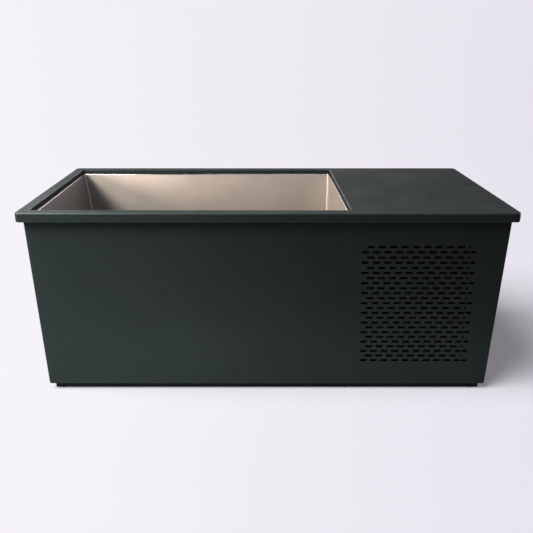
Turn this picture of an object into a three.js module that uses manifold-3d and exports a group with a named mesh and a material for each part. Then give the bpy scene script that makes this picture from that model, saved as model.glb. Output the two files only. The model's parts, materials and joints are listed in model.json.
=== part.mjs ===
// Cold plunge tub: a long powder-coated casing with a stainless basin sunk into one end of its top
// and a chiller bay under a flat deck at the other end.
// Millimetres, +Z up. The origin is on the floor, under the middle of the rim.
// +X runs from the basin to the chiller bay, and the slotted grille faces -Y.

import * as THREE from 'three';
import { mergeVertices } from 'three/addons/utils/BufferGeometryUtils.js';
import Module from 'manifold-3d';

const wasm = await Module();
wasm.setup();

// Overall size
const LENGTH = 1800;
const WIDTH = 840;
const HEIGHT = 730;
const GAP = 0.3; // clearance between pieces that touch

// Rim, skirt and deck, folded from one sheet
const RIM_SKIRT = 35;
const RIM_STRIP = 42; // flat strip between the rim's outer edge and the opening
const RIM_CORNER = 12;
const RIM_EDGE = 5; // rounding along the rim's top edge
const SKIRT_RETURN = 20; // width of the skirt's inward fold
const DECK_LENGTH = 600; // flat deck over the chiller bay
const DECK_SHEET = 3;
const LIP_DROP = 16; // depth of the lip folded down round the opening
const LIP_EDGE = 3; // rounding along the opening's top edge

// Casing, drafted on all four sides
const DRAFT = THREE.MathUtils.degToRad(1.5);
const RIM_OVERHANG = 22;
const FLOOR_GAP = 23;
const CASING_SHEET = 2.5;
const CASING_CORNER = 8;
const CASING_RETURN = 24; // how far the front and rear sheets wrap round the corners
const SEAM = 1; // gap between neighbouring sheets
const BODY_TOP = HEIGHT - RIM_SKIRT;

// Slotted grille in the front panel
const SLOT_LENGTH = 28;
const SLOT_HEIGHT = 9;
const SLOT_PITCH = 41;
const ROW_PITCH = 20.3;
const ROW_SHIFT = 0.73; // each row starts a little further right than the one above
const SLOT_ROWS = 24;
const SLOTS_PER_ROW = 9;
const GRILLE_X = 356.5; // centre of the first slot in every second row
const GRILLE_DROP = 98.6; // first row's centre below the skirt
const END_SLOTS = [
  { pitches: 8.97, length: 25.5 },
  { pitches: 9.63, length: 20 },
]; // shortened slots that close every second row
const END_DOT_PITCHES = 9.27; // round hole that closes the other rows

// Basin
const BASIN_SHEET = 2.5;
const BASIN_INSET = 5; // basin wall inboard of the deck's lip
const BASIN_FLOOR = 110;
const BASIN_CORNER = 16;
const BASIN_FILLET = 14;
const BASIN_DRAFT = THREE.MathUtils.degToRad(2);
const BACKREST = THREE.MathUtils.degToRad(7);
const BASIN_FLANGE = 20; // flange width outside the opening
const GASKET = 3.4;
const GASKET_WIDTH = 12;
const GASKET_SETBACK = 0.6; // gasket behind the face of the lip
const BASIN_TOP = HEIGHT - LIP_DROP - GASKET - 2 * GAP;
const FITTING = { flange: 36, dish: 34, centre: 12, rim: 3, crown: 5, tail: 8, clearance: 2 };
const DRAIN = { x: 180, y: 100, radius: 18, tail: 96 };
const WALL_PORT = 16; // radius of the wall fittings' tails
const SUCTION = { y: 200, z: 200 };
const RETURN = { y: -30, z: 480 };

// Foam between the basin and the casing
const FOAM_X = 325; // chiller-bay face of the bulkhead foam
const FOAM_SLACK = 1; // gap between the foam and a sheet
const FOAM_DROP = 6; // foam below the basin's flange

// Base frame and the posts of the chiller bay
const PLINTH_INSET = 11; // front and rear rails behind the casing's foot
const END_INSET = 22; // end rails and posts behind it
const PAD_HEIGHT = 3;
const PAD_RADIUS = 15;
const PAD_TAPER = 1;
const PAD_INSET = 30; // pads from the ends of the front and rear rails
const RAIL_HEIGHT = 43;
const RAIL_WIDTH = 36;
const TUBE = 25; // width of the posts, top rails and cross rails
const TUBE_WALL = 2;
const RAIL_TOP = PAD_HEIGHT + RAIL_HEIGHT;

// Service door in the rear face
const DOOR = { left: 341, right: 829, bottom: 29, top: 690 };
const DOOR_GAP = 3;
const HINGE = { x: 830.5, radius: 5.5, pin: 2.8, half: 28, leaf: 2, doorLeaf: 24, fixedLeaf: 20 };
const HINGE_HEIGHTS = { lower: 150, upper: 580 };
const LATCH = { x: 364, z: 360, fold: 22, hole: 7, spindle: 6, knob: 15, knobHeight: 6, bevel: 3 };
const LATCH_GRIP = { width: 5, length: 22, height: 10 };
const TONGUE = { width: 12, length: 38, heel: 8, sheet: 3, gap: 2 };
const VENT = { length: 150, height: 8, columns: 2, rows: 4, pitchX: 190, pitchZ: 24, z: 480 };

// Chiller bay contents
const TRAY = { left: 352, right: 812, half: 358, sheet: 3, edge: 8 };
const TRAY_TOP = RAIL_TOP + GAP + TRAY.sheet + GAP;
const COIL = { left: 366, right: 760, back: -300, depth: 42, top: 600, fins: 11, fin: 2, core: 4, port: 10 };
const COIL_PORTS = { low: 120, high: 540 };
const FAN = { x: 563, z: 330, radius: 158, front: -276, back: -222, blades: 5, blade: 3, pitch: 28 };
const FAN_HUB = { radius: 42, nose: 34, noseDepth: 8 };
const SHROUD = { sheet: 3, duct: 166, wall: 3, depth: 34 };
const MOTOR = { radius: 50, depth: 60, rim: 6, shaft: 6, gap: 10, arm: 10, armSheet: 6, leg: 8 };
const COMPRESSOR = { x: 730, y: -30, radius: 75, height: 270, base: 12, seam: 2, dome: 22, foot: 24, reach: 8 };
const COMPRESSOR_PORTS = { offset: 30, suction: 100, length: 10 };
const EXCHANGER = { x: 470, y: -30, radius: 85, height: 310, clamp: 4, clampHeight: 12, shoulder: 26, neck: 30 };
const EXCHANGER_PORTS = { water: 16, top: 18, liquid: 70, gas: 150, gasY: -30, copper: 10 };
const PUMP = { x: 440, y: 200, z: 115, radius: 52, volute: 44, length: 160, inlet: 10, outlet: 22, rise: 24 };
const FILTER = { x: 690, y: 200, radius: 70, height: 280, wall: 6, floor: 12, collar: 16, port: 290, reach: 14 };
const FILTER_CAP = { plug: 20, skirt: 8, height: 18, crown: 32, ear: 12, gripWidth: 12, gripTop: 46 };
const CARTRIDGE = { pleats: 16, radius: 56, pleat: 12 };
const PORT_STEP = 40; // filter outlet below its inlet
const WATER_PIPE = 15; // outer radius
const DRAIN_PIPE = 14;
const DRAIN_LEVEL = 72;
const COPPER_PIPE = 5;
const COPPER_SOCKET = COPPER_PIPE + 1;
const VALVE = { x: 792, half: 22, nut: 17, belly: 20, neck: 7, neckTop: 27, outlet: 18 };
const LEVER = { length: 56, width: 12, sheet: 4, boss: 9, height: 9 };
const CONTROL = { y: 120, z: 500, width: 180, height: 160, depth: 55, corner: 6 };
const INLET = { y: 250, z: 150, halfWidth: 17, halfHeight: 12, border: 9, flange: 4, wall: 4, depth: 30 };
const INLET_PIN = { pitch: 7, width: 3, height: 4, drop: 4, rise: 1, length: 16 };

const CORNER_STEPS = 3;
const LATHE_SEGMENTS = 10;
const ROD_SEGMENTS = 8;
const MIN_RADIUS = 0.5;
const REACH = 10; // how far a cutting tool runs past a face

const FINISH = {
  powder: { color: 0x2b3231, roughness: 0.62, metalness: 0.1 },
  stainless: { color: 0xcbbdab, roughness: 0.3, metalness: 1 },
  rubber: { color: 0x101112, roughness: 0.85, metalness: 0 },
  frame: { color: 0x15181a, roughness: 0.7, metalness: 0.2 },
  foam: { color: 0xd8cfa8, roughness: 0.95, metalness: 0 },
  zinc: { color: 0x9aa0a3, roughness: 0.45, metalness: 0.9 },
  plastic: { color: 0x1b1d1f, roughness: 0.5, metalness: 0 },
  pvc: { color: 0xb9bcbc, roughness: 0.45, metalness: 0 },
  copper: { color: 0xb4683f, roughness: 0.35, metalness: 1 },
  aluminium: { color: 0x1c1f20, roughness: 0.6, metalness: 0.2 },
  enamel: { color: 0x0c0d0e, roughness: 0.35, metalness: 0.1 },
  brass: { color: 0xb08d4a, roughness: 0.35, metalness: 1 },
  lever: { color: 0x9c1f1c, roughness: 0.5, metalness: 0 },
  paper: { color: 0xe6e6df, roughness: 0.9, metalness: 0 },
};

const tub = new THREE.Group();

function add(name, geometry, finish, place = {}) {
  const mesh = new THREE.Mesh(geometry, new THREE.MeshStandardMaterial(FINISH[finish]));
  mesh.name = name;
  mesh.position.set(place.x ?? 0, place.y ?? 0, place.z ?? 0);
  tub.add(mesh);
}

// Solids

function solid(geometry) {
  const bare = geometry.clone();
  bare.deleteAttribute('normal');
  bare.deleteAttribute('uv');
  const merged = mergeVertices(bare);
  const corners = merged.index.array;
  const kept = [];
  for (let i = 0; i < corners.length; i += 3) {
    const [a, b, c] = corners.subarray(i, i + 3);
    if (a !== b && b !== c && c !== a) kept.push(a, b, c);
  }
  const vertProperties = new Float32Array(merged.attributes.position.array);
  return new wasm.Manifold(new wasm.Mesh({ numProp: 3, vertProperties, triVerts: new Uint32Array(kept) }));
}

function geometryOf(manifold) {
  const mesh = manifold.getMesh();
  const geometry = new THREE.BufferGeometry();
  geometry.setAttribute('position', new THREE.BufferAttribute(mesh.vertProperties, 3));
  geometry.setIndex(new THREE.BufferAttribute(mesh.triVerts, 1));
  return geometry;
}

function join(...geometries) {
  return geometryOf(geometries.map(solid).reduce((sum, next) => sum.add(next)));
}

function cut(geometry, ...tools) {
  return geometryOf(tools.map(solid).reduce((rest, tool) => rest.subtract(tool), solid(geometry)));
}

function arc(cx, cy, radius, from, to, steps = CORNER_STEPS) {
  return Array.from({ length: steps + 1 }, (_, i) => {
    const angle = THREE.MathUtils.degToRad(from + ((to - from) * i) / steps);
    return new THREE.Vector2(cx + radius * Math.cos(angle), cy + radius * Math.sin(angle));
  });
}

// Anticlockwise outline of a rectangle with round corners, grown outwards all round.
function roundRect({ x0, x1, y0, y1, r }, grow = 0) {
  const radius = Math.max(r + grow, MIN_RADIUS);
  const left = x0 - grow + radius;
  const right = x1 + grow - radius;
  const front = y0 - grow + radius;
  const back = y1 + grow - radius;
  return [
    ...arc(right, front, radius, -90, 0),
    ...arc(right, back, radius, 0, 90),
    ...arc(left, back, radius, 90, 180),
    ...arc(left, front, radius, 180, 270),
  ];
}

// Solid through level outlines, listed from the bottom up, with straight walls between them.
function loft(sections) {
  const count = sections[0].points.length;
  const position = sections.flatMap(({ z, points }) => points.flatMap((p) => [p.x, p.y, z]));
  const index = [];
  for (let level = 0; level + 1 < sections.length; level += 1) {
    for (let i = 0; i < count; i += 1) {
      const a = level * count + i;
      const b = level * count + ((i + 1) % count);
      index.push(a, b, b + count, a, b + count, a + count);
    }
  }
  const top = (sections.length - 1) * count;
  for (const [a, b, c] of THREE.ShapeUtils.triangulateShape(sections[0].points, [])) index.push(c, b, a);
  for (const [a, b, c] of THREE.ShapeUtils.triangulateShape(sections.at(-1).points, [])) {
    index.push(top + a, top + b, top + c);
  }
  const geometry = new THREE.BufferGeometry();
  geometry.setAttribute('position', new THREE.Float32BufferAttribute(position, 3));
  geometry.setIndex(index);
  return geometry;
}

// Loft of one rectangle through [z, grow] steps.
function blockLoft(rect, steps) {
  return loft(steps.map(([z, grow]) => ({ z, points: roundRect(rect, grow) })));
}

// [z, grow] steps round an edge: rising from a wall into a level face that ends at z.
function roundedEdge(z, radius, direction) {
  return [0, 45, 90].map((angle) => {
    const a = THREE.MathUtils.degToRad(angle);
    return [z - radius + radius * Math.sin(a), direction * radius * (1 - Math.cos(a))];
  });
}

function box(x0, x1, y0, y1, z0, z1) {
  const geometry = new THREE.BoxGeometry(x1 - x0, y1 - y0, z1 - z0);
  return geometry.translate((x0 + x1) / 2, (y0 + y1) / 2, (z0 + z1) / 2);
}

const TO_AXIS = {
  x: (geometry) => geometry.rotateZ(-Math.PI / 2),
  y: (geometry) => geometry,
  z: (geometry) => geometry.rotateX(Math.PI / 2),
};

// Revolved profile of [radius, height] points, with its height along the named axis.
function revolve(profile, axis = 'z', segments = LATHE_SEGMENTS) {
  const points = profile.map(([radius, height]) => new THREE.Vector2(radius, height));
  return TO_AXIS[axis](new THREE.LatheGeometry(points, segments));
}

function rod(radius, from, to, axis = 'z') {
  return revolve([[0, from], [radius, from], [radius, to], [0, to]], axis, ROD_SEGMENTS);
}

// Square-cut hollow bar, centred on the origin.
function hollowBar(width, height, length, axis) {
  const ring = (shape, w, h) => {
    shape.moveTo(-w / 2, -h / 2).lineTo(w / 2, -h / 2).lineTo(w / 2, h / 2).lineTo(-w / 2, h / 2);
    return shape;
  };
  const outline = ring(new THREE.Shape(), width, height);
  outline.holes.push(ring(new THREE.Path(), width - 2 * TUBE_WALL, height - 2 * TUBE_WALL));
  const bar = new THREE.ExtrudeGeometry(outline, { depth: length, bevelEnabled: false });
  bar.translate(0, 0, -length / 2);
  if (axis === 'x') bar.rotateZ(Math.PI / 2).rotateY(Math.PI / 2);
  if (axis === 'y') bar.rotateX(Math.PI / 2);
  return bar;
}

function pipe(points, radius, sides, steps) {
  const path = new THREE.CatmullRomCurve3(points.map(([x, y, z]) => new THREE.Vector3(x, y, z)));
  const section = new THREE.Shape(arc(0, 0, radius, 0, 360 - 360 / sides, sides - 1));
  return new THREE.ExtrudeGeometry(section, { extrudePath: path, steps, bevelEnabled: false });
}

// Casing planes

const halfLength = (z) => LENGTH / 2 - RIM_OVERHANG - (BODY_TOP - z) * Math.tan(DRAFT);
const halfWidth = (z) => WIDTH / 2 - RIM_OVERHANG - (BODY_TOP - z) * Math.tan(DRAFT);

// Place on the rear face: local +Y points out of the face and local +Z runs up it.
function onRear(geometry, x, z) {
  return geometry.rotateX(-DRAFT).translate(x, halfWidth(z), z);
}

// Place on the right end: local +X points out of the face and local +Z runs up it.
function onRightEnd(geometry, y, z) {
  return geometry.rotateY(DRAFT).translate(halfLength(z), y, z);
}

function casingCorner(z, inset, signX, signY, from) {
  const radius = Math.max(CASING_CORNER - inset, MIN_RADIUS);
  const x = signX * (halfLength(z) - inset - radius);
  const y = signY * (halfWidth(z) - inset - radius);
  return arc(x, y, radius, from, from + 90);
}

const point = (x, y) => new THREE.Vector2(x, y);
const PANEL_PATHS = {
  front: (z, inset) => [
    point(-halfLength(z) + inset, -halfWidth(z) + CASING_RETURN),
    ...casingCorner(z, inset, -1, -1, 180),
    ...casingCorner(z, inset, 1, -1, 270),
    point(halfLength(z) - inset, -halfWidth(z) + CASING_RETURN),
  ],
  right: (z, inset) => [
    point(halfLength(z) - inset, -halfWidth(z) + CASING_RETURN + SEAM),
    ...casingCorner(z, inset, 1, 1, 0),
    point(DOOR.right + DOOR_GAP, halfWidth(z) - inset),
  ],
  rear: (z, inset) => [
    point(DOOR.left - DOOR_GAP, halfWidth(z) - inset),
    ...casingCorner(z, inset, -1, 1, 90),
    point(-halfLength(z) + inset, halfWidth(z) - CASING_RETURN),
  ],
  left: (z, inset) => [
    point(-halfLength(z) + inset, halfWidth(z) - CASING_RETURN - SEAM),
    point(-halfLength(z) + inset, -halfWidth(z) + CASING_RETURN + SEAM),
  ],
};

function sheetLoft(path, bottom, top, outer, inner) {
  const section = (z) => ({ z, points: [...path(z, outer), ...path(z, inner).reverse()] });
  return loft([section(bottom), section(top)]);
}

// Drafted sheet with an inward fold along its bottom edge.
function casingPanel(path) {
  const top = BASIN_TOP - BASIN_SHEET - GAP;
  const wall = sheetLoft(path, FLOOR_GAP, top, 0, CASING_SHEET);
  const fold = sheetLoft(path, FLOOR_GAP, FLOOR_GAP + CASING_SHEET, CASING_SHEET / 2, PLINTH_INSET - GAP);
  return join(wall, fold);
}

// Slots and the grille

function slotShape(x, z, length, height) {
  const radius = height / 2;
  const reach = length / 2 - radius;
  return new THREE.Shape([...arc(x + reach, z, radius, -90, 90), ...arc(x - reach, z, radius, 90, 270)]);
}

function dotShape(x, z, radius) {
  return new THREE.Shape(arc(x, z, radius, 0, 300, 5));
}

// Cutters along Y through the face at y.
function punch(shapes, y) {
  const reach = 3 * REACH;
  const cutters = new THREE.ExtrudeGeometry(shapes, { depth: 2 * reach, bevelEnabled: false });
  return cutters.rotateX(Math.PI / 2).translate(0, y + reach, 0);
}

function grilleShapes() {
  const shapes = [];
  for (let row = 0; row < SLOT_ROWS; row += 1) {
    const z = BODY_TOP - GRILLE_DROP - row * ROW_PITCH;
    const start = GRILLE_X + row * ROW_SHIFT;
    const staggered = row % 2 === 0;
    for (let i = 0; i < SLOTS_PER_ROW; i += 1) {
      const x = start + (i + (staggered ? 0.5 : 0)) * SLOT_PITCH;
      shapes.push(slotShape(x, z, SLOT_LENGTH, SLOT_HEIGHT));
    }
    if (staggered) {
      shapes.push(dotShape(start + END_DOT_PITCHES * SLOT_PITCH, z, SLOT_HEIGHT / 2));
    } else {
      for (const { pitches, length } of END_SLOTS) {
        shapes.push(slotShape(start + pitches * SLOT_PITCH, z, length, SLOT_HEIGHT));
      }
    }
  }
  return shapes;
}

function ventShapes() {
  const middle = (DOOR.left + DOOR.right) / 2;
  const shapes = [];
  for (let row = 0; row < VENT.rows; row += 1) {
    for (let column = 0; column < VENT.columns; column += 1) {
      const x = middle + (column - (VENT.columns - 1) / 2) * VENT.pitchX;
      shapes.push(slotShape(x, VENT.z + row * VENT.pitchZ, VENT.length, VENT.height));
    }
  }
  return shapes;
}

function addCasing() {
  const frontPanel = casingPanel(PANEL_PATHS.front);
  add('front_panel', cut(frontPanel, punch(grilleShapes(), -halfWidth(BODY_TOP))), 'powder');
  add('left_end_panel', casingPanel(PANEL_PATHS.left), 'powder');
  const inletHalf = INLET.halfWidth + FITTING.clearance;
  const inletRise = INLET.halfHeight + FITTING.clearance;
  const inletHole = onRightEnd(
    box(-REACH, REACH, -inletHalf, inletHalf, -inletRise, inletRise), INLET.y, INLET.z,
  );
  const endFace = halfLength(DRAIN_LEVEL);
  const drainHole = rod(DRAIN_PIPE + FITTING.clearance, endFace - REACH, endFace + REACH, 'x');
  drainHole.translate(0, DRAIN.y, DRAIN_LEVEL);
  add('right_end_panel', cut(casingPanel(PANEL_PATHS.right), inletHole, drainHole), 'powder');
  const doorEdge = DOOR.left - DOOR_GAP;
  const foldSection = (z) => ({
    z,
    points: [
      point(doorEdge - CASING_SHEET, halfWidth(z) - LATCH.fold),
      point(doorEdge, halfWidth(z) - LATCH.fold),
      point(doorEdge, halfWidth(z) - CASING_SHEET / 2),
      point(doorEdge - CASING_SHEET, halfWidth(z) - CASING_SHEET / 2),
    ],
  });
  const doorFold = loft([foldSection(RAIL_TOP + SEAM), foldSection(DOOR.top)]);
  add('rear_panel', join(casingPanel(PANEL_PATHS.rear), doorFold), 'powder');
}

// Rim and deck

const OPENING = {
  x0: -LENGTH / 2 + RIM_STRIP,
  x1: LENGTH / 2 - DECK_LENGTH,
  y0: -WIDTH / 2 + RIM_STRIP,
  y1: WIDTH / 2 - RIM_STRIP,
  r: BASIN_CORNER + BASIN_INSET,
};

function addDeck() {
  const rim = { x0: -LENGTH / 2, x1: LENGTH / 2, y0: -WIDTH / 2, y1: WIDTH / 2, r: RIM_CORNER };
  const hem = DECK_SHEET / 2;
  const skin = blockLoft(rim, [[BODY_TOP, -hem], [BODY_TOP + hem, 0], ...roundedEdge(HEIGHT, RIM_EDGE, -1)]);
  const hollow = blockLoft(rim, [
    [BODY_TOP + DECK_SHEET, -DECK_SHEET],
    [HEIGHT - DECK_SHEET, -DECK_SHEET],
  ]);
  const mouth = blockLoft(rim, [[BODY_TOP - REACH, -SKIRT_RETURN], [BODY_TOP + DECK_SHEET + 1, -SKIRT_RETURN]]);
  const lip = blockLoft(OPENING, [[HEIGHT - LIP_DROP, DECK_SHEET], [HEIGHT - DECK_SHEET / 2, DECK_SHEET]]);
  const opening = blockLoft(OPENING, [
    [BODY_TOP - REACH, 0],
    ...roundedEdge(HEIGHT, LIP_EDGE, 1),
    [HEIGHT + REACH, LIP_EDGE],
  ]);
  add('top_deck', cut(join(cut(skin, hollow, mouth), lip), opening), 'powder');
}

// Basin, its seal and fittings

function basinRect(z) {
  const drop = BASIN_TOP - z;
  const side = BASIN_INSET + drop * Math.tan(BASIN_DRAFT);
  return {
    x0: OPENING.x0 + BASIN_INSET + drop * Math.tan(BACKREST),
    x1: OPENING.x1 - BASIN_INSET,
    y0: OPENING.y0 + side,
    y1: OPENING.y1 - side,
    r: BASIN_CORNER,
  };
}

// Tapered well with a filleted floor; grow moves its surface outwards.
function basinWell(top, grow) {
  const radius = BASIN_FILLET + grow;
  const fillet = [0, 45, 90].map((angle) => {
    const a = THREE.MathUtils.degToRad(angle);
    return [BASIN_FLOOR - grow + radius * (1 - Math.cos(a)), grow - radius * (1 - Math.sin(a))];
  });
  const steps = [...fillet, [top, grow]];
  return loft(steps.map(([z, inset]) => ({ z, points: roundRect(basinRect(z), inset) })));
}

function addBasin() {
  const flangeBottom = BASIN_TOP - BASIN_SHEET;
  const flange = blockLoft(OPENING, [[flangeBottom, BASIN_FLANGE], [BASIN_TOP, BASIN_FLANGE]]);
  const shell = cut(join(basinWell(BASIN_TOP - 1, BASIN_SHEET), flange), basinWell(BASIN_TOP + 1, 0));
  const wall = OPENING.x1 - BASIN_INSET;
  const { clearance } = FITTING;
  const drainHole = rod(DRAIN.radius + clearance, BASIN_FLOOR - REACH, BASIN_FLOOR + REACH);
  const wallHole = ({ y, z }) => rod(WALL_PORT + clearance, wall - REACH, wall + REACH, 'x').translate(0, y, z);
  const holes = [drainHole.translate(DRAIN.x, DRAIN.y, 0), wallHole(SUCTION), wallHole(RETURN)];
  add('basin', cut(shell, ...holes), 'stainless');

  const seal = blockLoft(OPENING, [[BASIN_TOP + GAP, GASKET_WIDTH], [BASIN_TOP + GAP + GASKET, GASKET_WIDTH]]);
  const sealHole = blockLoft(OPENING, [[BASIN_TOP - REACH, GASKET_SETBACK], [HEIGHT, GASKET_SETBACK]]);
  add('basin_gasket', cut(seal, sealHole), 'rubber');

  // The fittings clamp the shell between a dished flange inside and a tail outside.
  const fitting = (tail, radius) => [
    [0, -GAP - FITTING.rim],
    [FITTING.centre, -GAP - FITTING.crown],
    [FITTING.dish, -GAP - FITTING.rim],
    [FITTING.flange, -GAP],
    [radius, -GAP],
    [radius, tail],
    [0, tail],
  ];
  const wallFitting = () => revolve(fitting(FOAM_X + FITTING.tail - wall, WALL_PORT), 'x', ROD_SEGMENTS);
  add('suction_fitting', wallFitting(), 'plastic', { x: wall, ...SUCTION });
  add('return_fitting', wallFitting(), 'plastic', { x: wall, ...RETURN });
  const drain = revolve(fitting(BASIN_FLOOR - DRAIN.tail, DRAIN.radius), 'z', ROD_SEGMENTS).rotateX(Math.PI);
  add('drain_fitting', drain, 'stainless', { x: DRAIN.x, y: DRAIN.y, z: BASIN_FLOOR });
}

// Foam slabs between the basin and the casing

function addInsulation() {
  const inner = (z) => halfWidth(z) - CASING_SHEET - FOAM_SLACK;
  const basinSide = (z) => basinRect(z).y1 + BASIN_SHEET + FOAM_SLACK;
  const top = BASIN_TOP - BASIN_SHEET - FOAM_DROP;
  const bottom = RAIL_TOP + GAP;
  const wall = OPENING.x1 - BASIN_INSET + BASIN_SHEET;
  const leftEnd = -halfLength(bottom) + CASING_CORNER;
  const rectangle = (x0, x1, y0, y1) => [point(x0, y0), point(x1, y0), point(x1, y1), point(x0, y1)];
  const slab = (levels, section) => loft(levels.map((z) => ({ z, points: rectangle(...section(z)) })));
  const levels = [bottom, top];
  add('insulation_front', slab(levels, (z) => [leftEnd, wall, -inner(z), -basinSide(z)]), 'foam');
  add('insulation_rear', slab(levels, (z) => [leftEnd, wall, basinSide(z), inner(z)]), 'foam');
  const half = basinSide(BASIN_FLOOR) - 4 * FOAM_SLACK;
  const casingSide = (z) => -halfLength(z) + CASING_SHEET + FOAM_SLACK;
  const wedge = (z) => [casingSide(z), basinRect(z).x0 - BASIN_SHEET - FOAM_SLACK, -half, half];
  add('insulation_left', slab([BASIN_FLOOR, top], wedge), 'foam');

  const floorTop = BASIN_FLOOR - BASIN_SHEET - GAP;
  const floorHalf = basinSide(bottom) - 2 * FOAM_SLACK;
  const floor = box(leftEnd, wall, -floorHalf, floorHalf, bottom, floorTop);
  const room = DRAIN.radius + 2 * FITTING.clearance;
  const channel = box(
    DRAIN.x - room, wall + REACH, DRAIN.y - room, DRAIN.y + room, bottom - REACH, floorTop + REACH,
  );
  add('insulation_floor', cut(floor, channel), 'foam');

  const bulkhead = box(wall + FOAM_SLACK, FOAM_X, -floorHalf, floorHalf, bottom, top);
  const sleeves = [SUCTION, RETURN, { y: DRAIN.y, z: DRAIN_LEVEL }].map(({ y, z }) => {
    return rod(WALL_PORT + 2 * FITTING.clearance, wall - REACH, FOAM_X + REACH, 'x').translate(0, y, z);
  });
  add('insulation_bulkhead', cut(bulkhead, ...sleeves), 'foam');
}

// Base frame, posts, top rails and pads

const SIDES = { front: -1, rear: 1 };

function addFrame() {
  const halfX = halfLength(FLOOR_GAP) - END_INSET;
  const halfY = halfWidth(FLOOR_GAP) - PLINTH_INSET;
  const railX = halfX - RAIL_WIDTH / 2;
  const railY = halfY - RAIL_WIDTH / 2;
  const railZ = PAD_HEIGHT + RAIL_HEIGHT / 2;
  for (const [side, sign] of Object.entries(SIDES)) {
    const rail = hollowBar(RAIL_HEIGHT, RAIL_WIDTH, 2 * halfX, 'x').rotateX(Math.PI / 2);
    add(`base_rail_${side}`, rail, 'frame', { y: sign * railY, z: railZ });
  }
  const crossRails = {
    base_rail_left: { x: -railX, width: RAIL_WIDTH },
    cross_rail_middle: { x: (FOAM_X - railX) / 2, width: TUBE },
    cross_rail_bulkhead: { x: FOAM_X - TUBE / 2, width: TUBE },
    base_rail_right: { x: railX, width: RAIL_WIDTH },
  };
  const crossLength = 2 * (halfY - RAIL_WIDTH - GAP);
  for (const [name, { x, width }] of Object.entries(crossRails)) {
    add(name, hollowBar(width, RAIL_HEIGHT, crossLength, 'y'), 'frame', { x, z: railZ });
  }

  const topRailZ = HEIGHT - DECK_SHEET - GAP - TUBE / 2;
  const postTop = topRailZ - TUBE / 2 - GAP;
  const postBottom = RAIL_TOP + GAP;
  const postY = halfWidth(FLOOR_GAP) - END_INSET - TUBE / 2;
  const postX = {
    left: FOAM_X + FOAM_SLACK + TUBE / 2,
    right: halfX - TUBE / 2,
  };
  for (const [side, sign] of Object.entries(SIDES)) {
    for (const [end, x] of Object.entries(postX)) {
      const post = hollowBar(TUBE, TUBE, postTop - postBottom, 'z');
      add(`bay_post_${side}_${end}`, post, 'frame', { x, y: sign * postY, z: (postTop + postBottom) / 2 });
    }
    const topRail = hollowBar(TUBE, TUBE, postX.right - postX.left + TUBE, 'x');
    add(`top_rail_${side}`, topRail, 'frame', { x: (postX.left + postX.right) / 2, y: sign * postY, z: topRailZ });
  }

  const padTop = PAD_HEIGHT - GAP;
  const pad = [[0, 0], [PAD_RADIUS, 0], [PAD_RADIUS - PAD_TAPER, padTop], [0, padTop]];
  const padX = { left: PAD_INSET - halfX, middle: crossRails.cross_rail_bulkhead.x, right: halfX - PAD_INSET };
  for (const [side, sign] of Object.entries(SIDES)) {
    for (const [end, x] of Object.entries(padX)) {
      add(`foot_pad_${side}_${end}`, revolve(pad, 'z', ROD_SEGMENTS), 'rubber', { x, y: sign * railY });
    }
  }

  const { left, right, half, sheet, edge } = TRAY;
  const underside = RAIL_TOP + GAP;
  const pan = box(left, right, -half, half, underside, underside + edge);
  const inside = box(
    left + sheet, right - sheet, -half + sheet, half - sheet, underside + sheet, underside + edge + REACH,
  );
  add('equipment_tray', cut(pan, inside), 'zinc');
}

// Service door, hinges and latch

function doorSlab() {
  const section = (z) => ({
    z,
    points: [
      point(DOOR.right, halfWidth(z) - CASING_SHEET),
      point(DOOR.right, halfWidth(z)),
      point(DOOR.left, halfWidth(z)),
      point(DOOR.left, halfWidth(z) - CASING_SHEET),
    ],
  });
  return loft([section(DOOR.bottom), section(DOOR.top)]);
}

function addDoor() {
  const { radius, pin, half, leaf, doorLeaf, fixedLeaf } = HINGE;
  const axisOut = radius + 2 * GAP;
  const latchHole = onRear(rod(LATCH.hole, -REACH, REACH, 'y'), LATCH.x, LATCH.z);
  let door = cut(doorSlab(), punch(ventShapes(), halfWidth(VENT.z)), latchHole);
  for (const [name, z] of Object.entries(HINGE_HEIGHTS)) {
    // The door's half carries the socket; the fixed half below it carries the pin.
    const socket = rod(radius, GAP, half).translate(0, axisOut, 0);
    const bore = rod(pin + GAP, -REACH, half + REACH).translate(0, axisOut, 0);
    const plate = box(-doorLeaf, 0, -GAP, GAP + leaf, GAP, half);
    door = join(door, onRear(cut(join(plate, socket), bore), HINGE.x, z));
    const knuckle = rod(radius, -half, 0).translate(0, axisOut, 0);
    const stem = rod(pin, -1, half - leaf).translate(0, axisOut, 0);
    const fixedPlate = box(0, fixedLeaf, GAP, GAP + leaf, -half, 0);
    add(`hinge_${name}`, onRear(join(fixedPlate, knuckle, stem), HINGE.x, z), 'zinc');
  }
  add('service_door', door, 'powder');

  const { knob, knobHeight, bevel, spindle, fold } = LATCH;
  const face = [[0, GAP], [knob, GAP], [knob, knobHeight - bevel], [knob - bevel, knobHeight], [0, knobHeight]];
  const { width, length, height } = LATCH_GRIP;
  const grip = box(-width / 2, width / 2, knobHeight - 1, height, -length / 2, length / 2);
  const tongueBack = -fold - TONGUE.gap - TONGUE.sheet;
  const stem = rod(spindle, tongueBack, 1, 'y');
  const tongue = box(
    -TONGUE.width / 2, TONGUE.width / 2, tongueBack, tongueBack + TONGUE.sheet, -TONGUE.length, TONGUE.heel,
  );
  add('door_latch', onRear(join(revolve(face, 'y'), grip, stem, tongue), LATCH.x, LATCH.z), 'zinc');
}

// Refrigeration

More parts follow.
